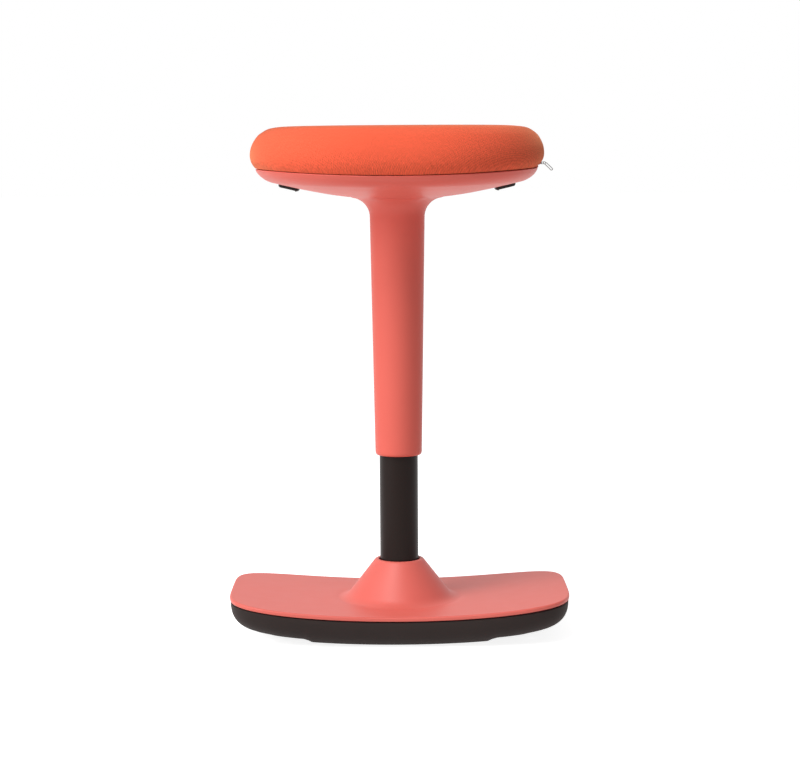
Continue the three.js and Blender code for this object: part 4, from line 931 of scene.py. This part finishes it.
def drawn_metal():
    """Fine lines and cloudy tone of drawn, turned or plated metal."""
    tree, given, out = effect("drawn_metal", {
        "Colour": (0.5, 0.5, 0.5, 1), "Line Scale": 900.0, "Tone Change": 0.1,
        "Roughness": 0.35, "Roughness Change": 0.15,
    }, ["Color", "Roughness", "Height"])
    stretch = add_node(tree, "Mapping", {"Vector": given["Vector"], "Scale": LINE_STRETCH})
    lines = noise_of(tree, stretch.outputs[0], given["Line Scale"], 2)
    cloud = noise_of(tree, given["Vector"], METAL_CLOUD_SCALE, 3)
    wire(tree, out["Color"], toned(tree, given["Colour"], around(tree, cloud, given["Tone Change"], 1.0)))
    wire(tree, out["Roughness"], around(tree, lines, given["Roughness Change"], given["Roughness"]))
    wire(tree, out["Height"], lines)
    return tree


def layered_fibre():
    """Layers or cells in wood, foam and tape."""
    tree, given, out = effect("layered_fibre", {
        "Colour": (0.5, 0.5, 0.5, 1), "Second Colour": (0.4, 0.4, 0.4, 1),
        "Layer Pitch": 0.0015, "Cell Scale": 700.0,
    }, ["Color", "Height"])
    apart = add_node(tree, "SeparateXYZ", {"Vector": given["Vector"]})
    turn = calc(tree, "DIVIDE", 2 * math.pi, given["Layer Pitch"])
    wave = calc(tree, "SINE", calc(tree, "MULTIPLY", apart.outputs["Z"], turn))
    band = calc(tree, "MULTIPLY_ADD", wave, 0.5, 0.5)
    cells = noise_of(tree, given["Vector"], given["Cell Scale"], 2)
    both = calc(tree, "MULTIPLY_ADD", cells, 0.5, calc(tree, "MULTIPLY", band, 0.5))
    tint = add_node(tree, "Mix", {0: both}, data_type="RGBA")
    wire(tree, tint.inputs[6], given["Colour"])
    wire(tree, tint.inputs[7], given["Second Colour"])
    wire(tree, out["Color"], tint.outputs[2])
    wire(tree, out["Height"], both)
    return tree


def linear(red, green, blue):
    """An on-screen colour, 0 to 255, as the shader wants it."""
    def channel(value):
        value /= 255
        return value / 12.92 if value <= 0.04045 else ((value + 0.055) / 1.055) ** 2.4
    return channel(red), channel(green), channel(blue), 1.0


def finish(name, group, colour, relief=0.2, relief_depth=0.0001, vector="Object", shader=None, **values):
    """A material: one effect group wired to the shader, with this finish's own values."""
    material = bpy.data.materials.new(name)
    material.use_nodes = True
    tree = material.node_tree
    principled = tree.nodes["Principled BSDF"]
    if vector == "Object":
        source = add_node(tree, "TexCoord").outputs["Object"]
    else:
        source = add_node(tree, "UVMap", uv_map=vector).outputs["UV"]
    placed = tree.nodes.new("ShaderNodeGroup")
    placed.node_tree = group
    wire(tree, placed.inputs["Vector"], source)
    placed.inputs["Colour"].default_value = linear(*colour)
    for key, value in values.items():
        placed.inputs[key.replace("_", " ").title()].default_value = value
    wire(tree, principled.inputs["Base Color"], placed.outputs["Color"])
    if "Roughness" in placed.outputs:
        wire(tree, principled.inputs["Roughness"], placed.outputs["Roughness"])
    bump = add_node(tree, "Bump", {"Strength": relief, "Distance": relief_depth,
                                   "Height": placed.outputs["Height"]})
    wire(tree, principled.inputs["Normal"], bump.outputs["Normal"])
    for key, value in (shader or {}).items():
        principled.inputs[key].default_value = value
    return material


def dress(piece, material):
    piece.data.materials.clear()
    piece.data.materials.append(material)


grain, twill, metal, fibre = moulded_grain(), twill_weave(), drawn_metal(), layered_fibre()

coral = finish("coral_plastic", grain, (230, 107, 94), relief=0.25, relief_depth=0.00008,
               roughness=0.42, shader={"Specular IOR Level": 0.18})
base_coral = finish("coral_base_plastic", grain, (226, 107, 96), relief=0.25, relief_depth=0.00008,
                    roughness=0.44, shader={"Specular IOR Level": 0.35})
# The cloth's Tone Change of 1.0 sets how strongly the twill's painted shade and highlight swing its colour.
orange = finish("orange_fabric", twill, (234, 94, 65), relief=0.6, relief_depth=0.0005,
                vector="weave", tone_change=1.0,
                shader={"Roughness": 0.85, "Sheen Weight": 0.8, "Sheen Roughness": 0.45,
                        "Sheen Tint": linear(255, 175, 130), "Specular IOR Level": 0.1})
rubber = finish("black_rubber", grain, (45, 36, 34), relief=0.4, relief_depth=0.0001,
                roughness=0.72, grain_scale=1100.0, shader={"Specular IOR Level": 0.2})
paint = finish("black_paint", grain, (33, 23, 20), relief=0.15, relief_depth=0.0001,
               roughness=0.38, grain_scale=900.0, shader={"Specular IOR Level": 0.13})
black = finish("black_plastic", grain, (30, 24, 23), relief=0.3, relief_depth=0.0001,
               roughness=0.5, shader={"Specular IOR Level": 0.2})
pale = finish("pale_plastic", grain, (226, 222, 208), relief=0.15, relief_depth=0.00005, roughness=0.4)
iron = finish("cast_iron", grain, (44, 44, 46), relief=0.8, relief_depth=0.0004,
              roughness=0.6, grain_scale=500.0, shader={"Metallic": 0.7})
zinc = finish("steel", metal, (184, 186, 188), relief=0.15, relief_depth=0.00004, shader={"Metallic": 1})
chrome = finish("bright_rod", metal, (214, 214, 218), relief=0.05, relief_depth=0.00002,
                roughness=0.14, roughness_change=0.05, shader={"Metallic": 1})
nickel = finish("zip_metal", metal, (150, 150, 148), relief=0.1, relief_depth=0.00003,
                roughness=0.4, shader={"Metallic": 1})
tape = finish("zip_tape", fibre, (200, 62, 40), relief=0.4, relief_depth=0.0002,
              second_colour=linear(150, 40, 28), layer_pitch=0.0011, shader={"Roughness": 0.9})
pad_foam = finish("foam", fibre, (228, 220, 196), relief=0.5, relief_depth=0.0004,
                  second_colour=linear(200, 190, 160), layer_pitch=0.05, cell_scale=900.0,
                  shader={"Roughness": 0.95})
wood = finish("plywood", fibre, (214, 178, 128), relief=0.2, relief_depth=0.0001,
              second_colour=linear(166, 122, 78), layer_pitch=0.003, cell_scale=240.0,
              shader={"Roughness": 0.65})

NODE_FINISHES = {
    "base_shell": base_coral, "seat_shell": coral, "rocker_sole": rubber, "bump_stop": rubber,
    "ballast_plate": iron, "standpipe": paint, "gas_cylinder": paint, "guide_bush": pale,
    "rod_guide": black, "piston": black, "cushion_clip": black, "finger_pad": black,
    "piston_rod": chrome, "seat_board": wood, "seat_foam": pad_foam, "seat_cover": orange,
    "zip_chain": tape, "zip_slider": nickel, "zip_pull": nickel,
}
for name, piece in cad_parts.items():
    matches = [key for key in NODE_FINISHES if name.startswith(key)]
    dress(piece, NODE_FINISHES[max(matches, key=len)] if matches else zinc)


def put(piece, material, slot, body, *nodes):
    """Finishes a new piece and has it stand for its CAD nodes."""
    dress(piece, material)
    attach(piece, body)
    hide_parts(*nodes)


put(base_shell(), base_coral, "coral_plastic", "base", "base_shell")
put(rocker_sole(), rubber, "black_rubber", "base", "rocker_sole")
put(standpipe(), paint, "black_paint", "base", "standpipe")
put(seat_shell(), coral, "coral_plastic", "seat", "seat_shell")
put(cushion(), orange, "orange_fabric", "seat", "seat_foam", "seat_cover")
put(finger_pad("grip_right", 1), black, "black_plastic", "lever_right", "finger_pad_right")
put(finger_pad("grip_left", -1), black, "black_plastic", "lever_left", "finger_pad_left")
put(zip_slider(), nickel, "zip_metal", "seat", "zip_slider")
put(zip_pull(), nickel, "zip_metal", "zip_pull", "zip_pull")


# Making the room, light and camera

def showing(tree):
    """1 for what the camera, a reflection or glass sees, 0 for light on the object."""
    path = add_node(tree, "LightPath")
    seen = calc(tree, "MAXIMUM", path.outputs["Is Camera Ray"], path.outputs["Is Glossy Ray"])
    return calc(tree, "MAXIMUM", seen, path.outputs["Is Transmission Ray"])


def room():
    """White surround, pale floor that keeps the shadow, and soft studio lamps."""
    world = bpy.data.worlds.new("studio")
    bpy.context.scene.world = world
    world.use_nodes = True
    tree = world.node_tree
    background = tree.nodes["Background"]
    background.inputs["Color"].default_value = (1, 1, 1, 1)
    strength = calc(tree, "MULTIPLY_ADD", showing(tree), 1 - WORLD_FILL, WORLD_FILL)
    wire(tree, background.inputs["Strength"], strength)

    deselect_all()
    bpy.ops.mesh.primitive_plane_add(size=FLOOR_SIZE, location=(0, 0, 0))
    floor = bpy.context.object
    floor.name = "floor"
    material = bpy.data.materials.new("floor_paper")
    material.use_nodes = True
    tree = material.node_tree
    principled = tree.nodes["Principled BSDF"]
    principled.inputs["Base Color"].default_value = FLOOR_COLOUR
    principled.inputs["Roughness"].default_value = FLOOR_ROUGHNESS
    principled.inputs["Specular IOR Level"].default_value = 0
    principled.inputs["Emission Color"].default_value = (1, 1, 1, 1)
    wire(tree, principled.inputs["Emission Strength"], calc(tree, "MULTIPLY", showing(tree), FLOOR_GLOW))
    dress(floor, material)

    for name, place, aim, size, power in LAMPS:
        deselect_all()
        bpy.ops.object.light_add(type="AREA", location=place)
        lamp = bpy.context.object
        lamp.name = name
        lamp.data.size = size
        lamp.data.energy = power
        lamp.rotation_euler = (Vector(aim) - Vector(place)).to_track_quat("-Z", "Y").to_euler()


def camera():
    """The photograph's view: from the front, a little above the seat's middle."""
    deselect_all()
    bpy.ops.object.camera_add(location=CAMERA_PLACE)
    made = bpy.context.object
    made.name = "camera"
    made.data.lens = CAMERA_LENS
    made.data.sensor_width = CAMERA_SENSOR
    made.data.sensor_fit = "HORIZONTAL"
    yaw = Matrix.Rotation(math.radians(CAMERA_YAW), 3, "Z")
    pitch = Matrix.Rotation(math.radians(90 + CAMERA_PITCH), 3, "X")
    roll = Matrix.Rotation(math.radians(CAMERA_ROLL), 3, "Z")
    turn = yaw @ pitch @ roll
    made.rotation_euler = turn.to_euler()
    bpy.context.scene.camera = made


room()
camera()
bpy.context.scene.view_settings.view_transform = "Standard"
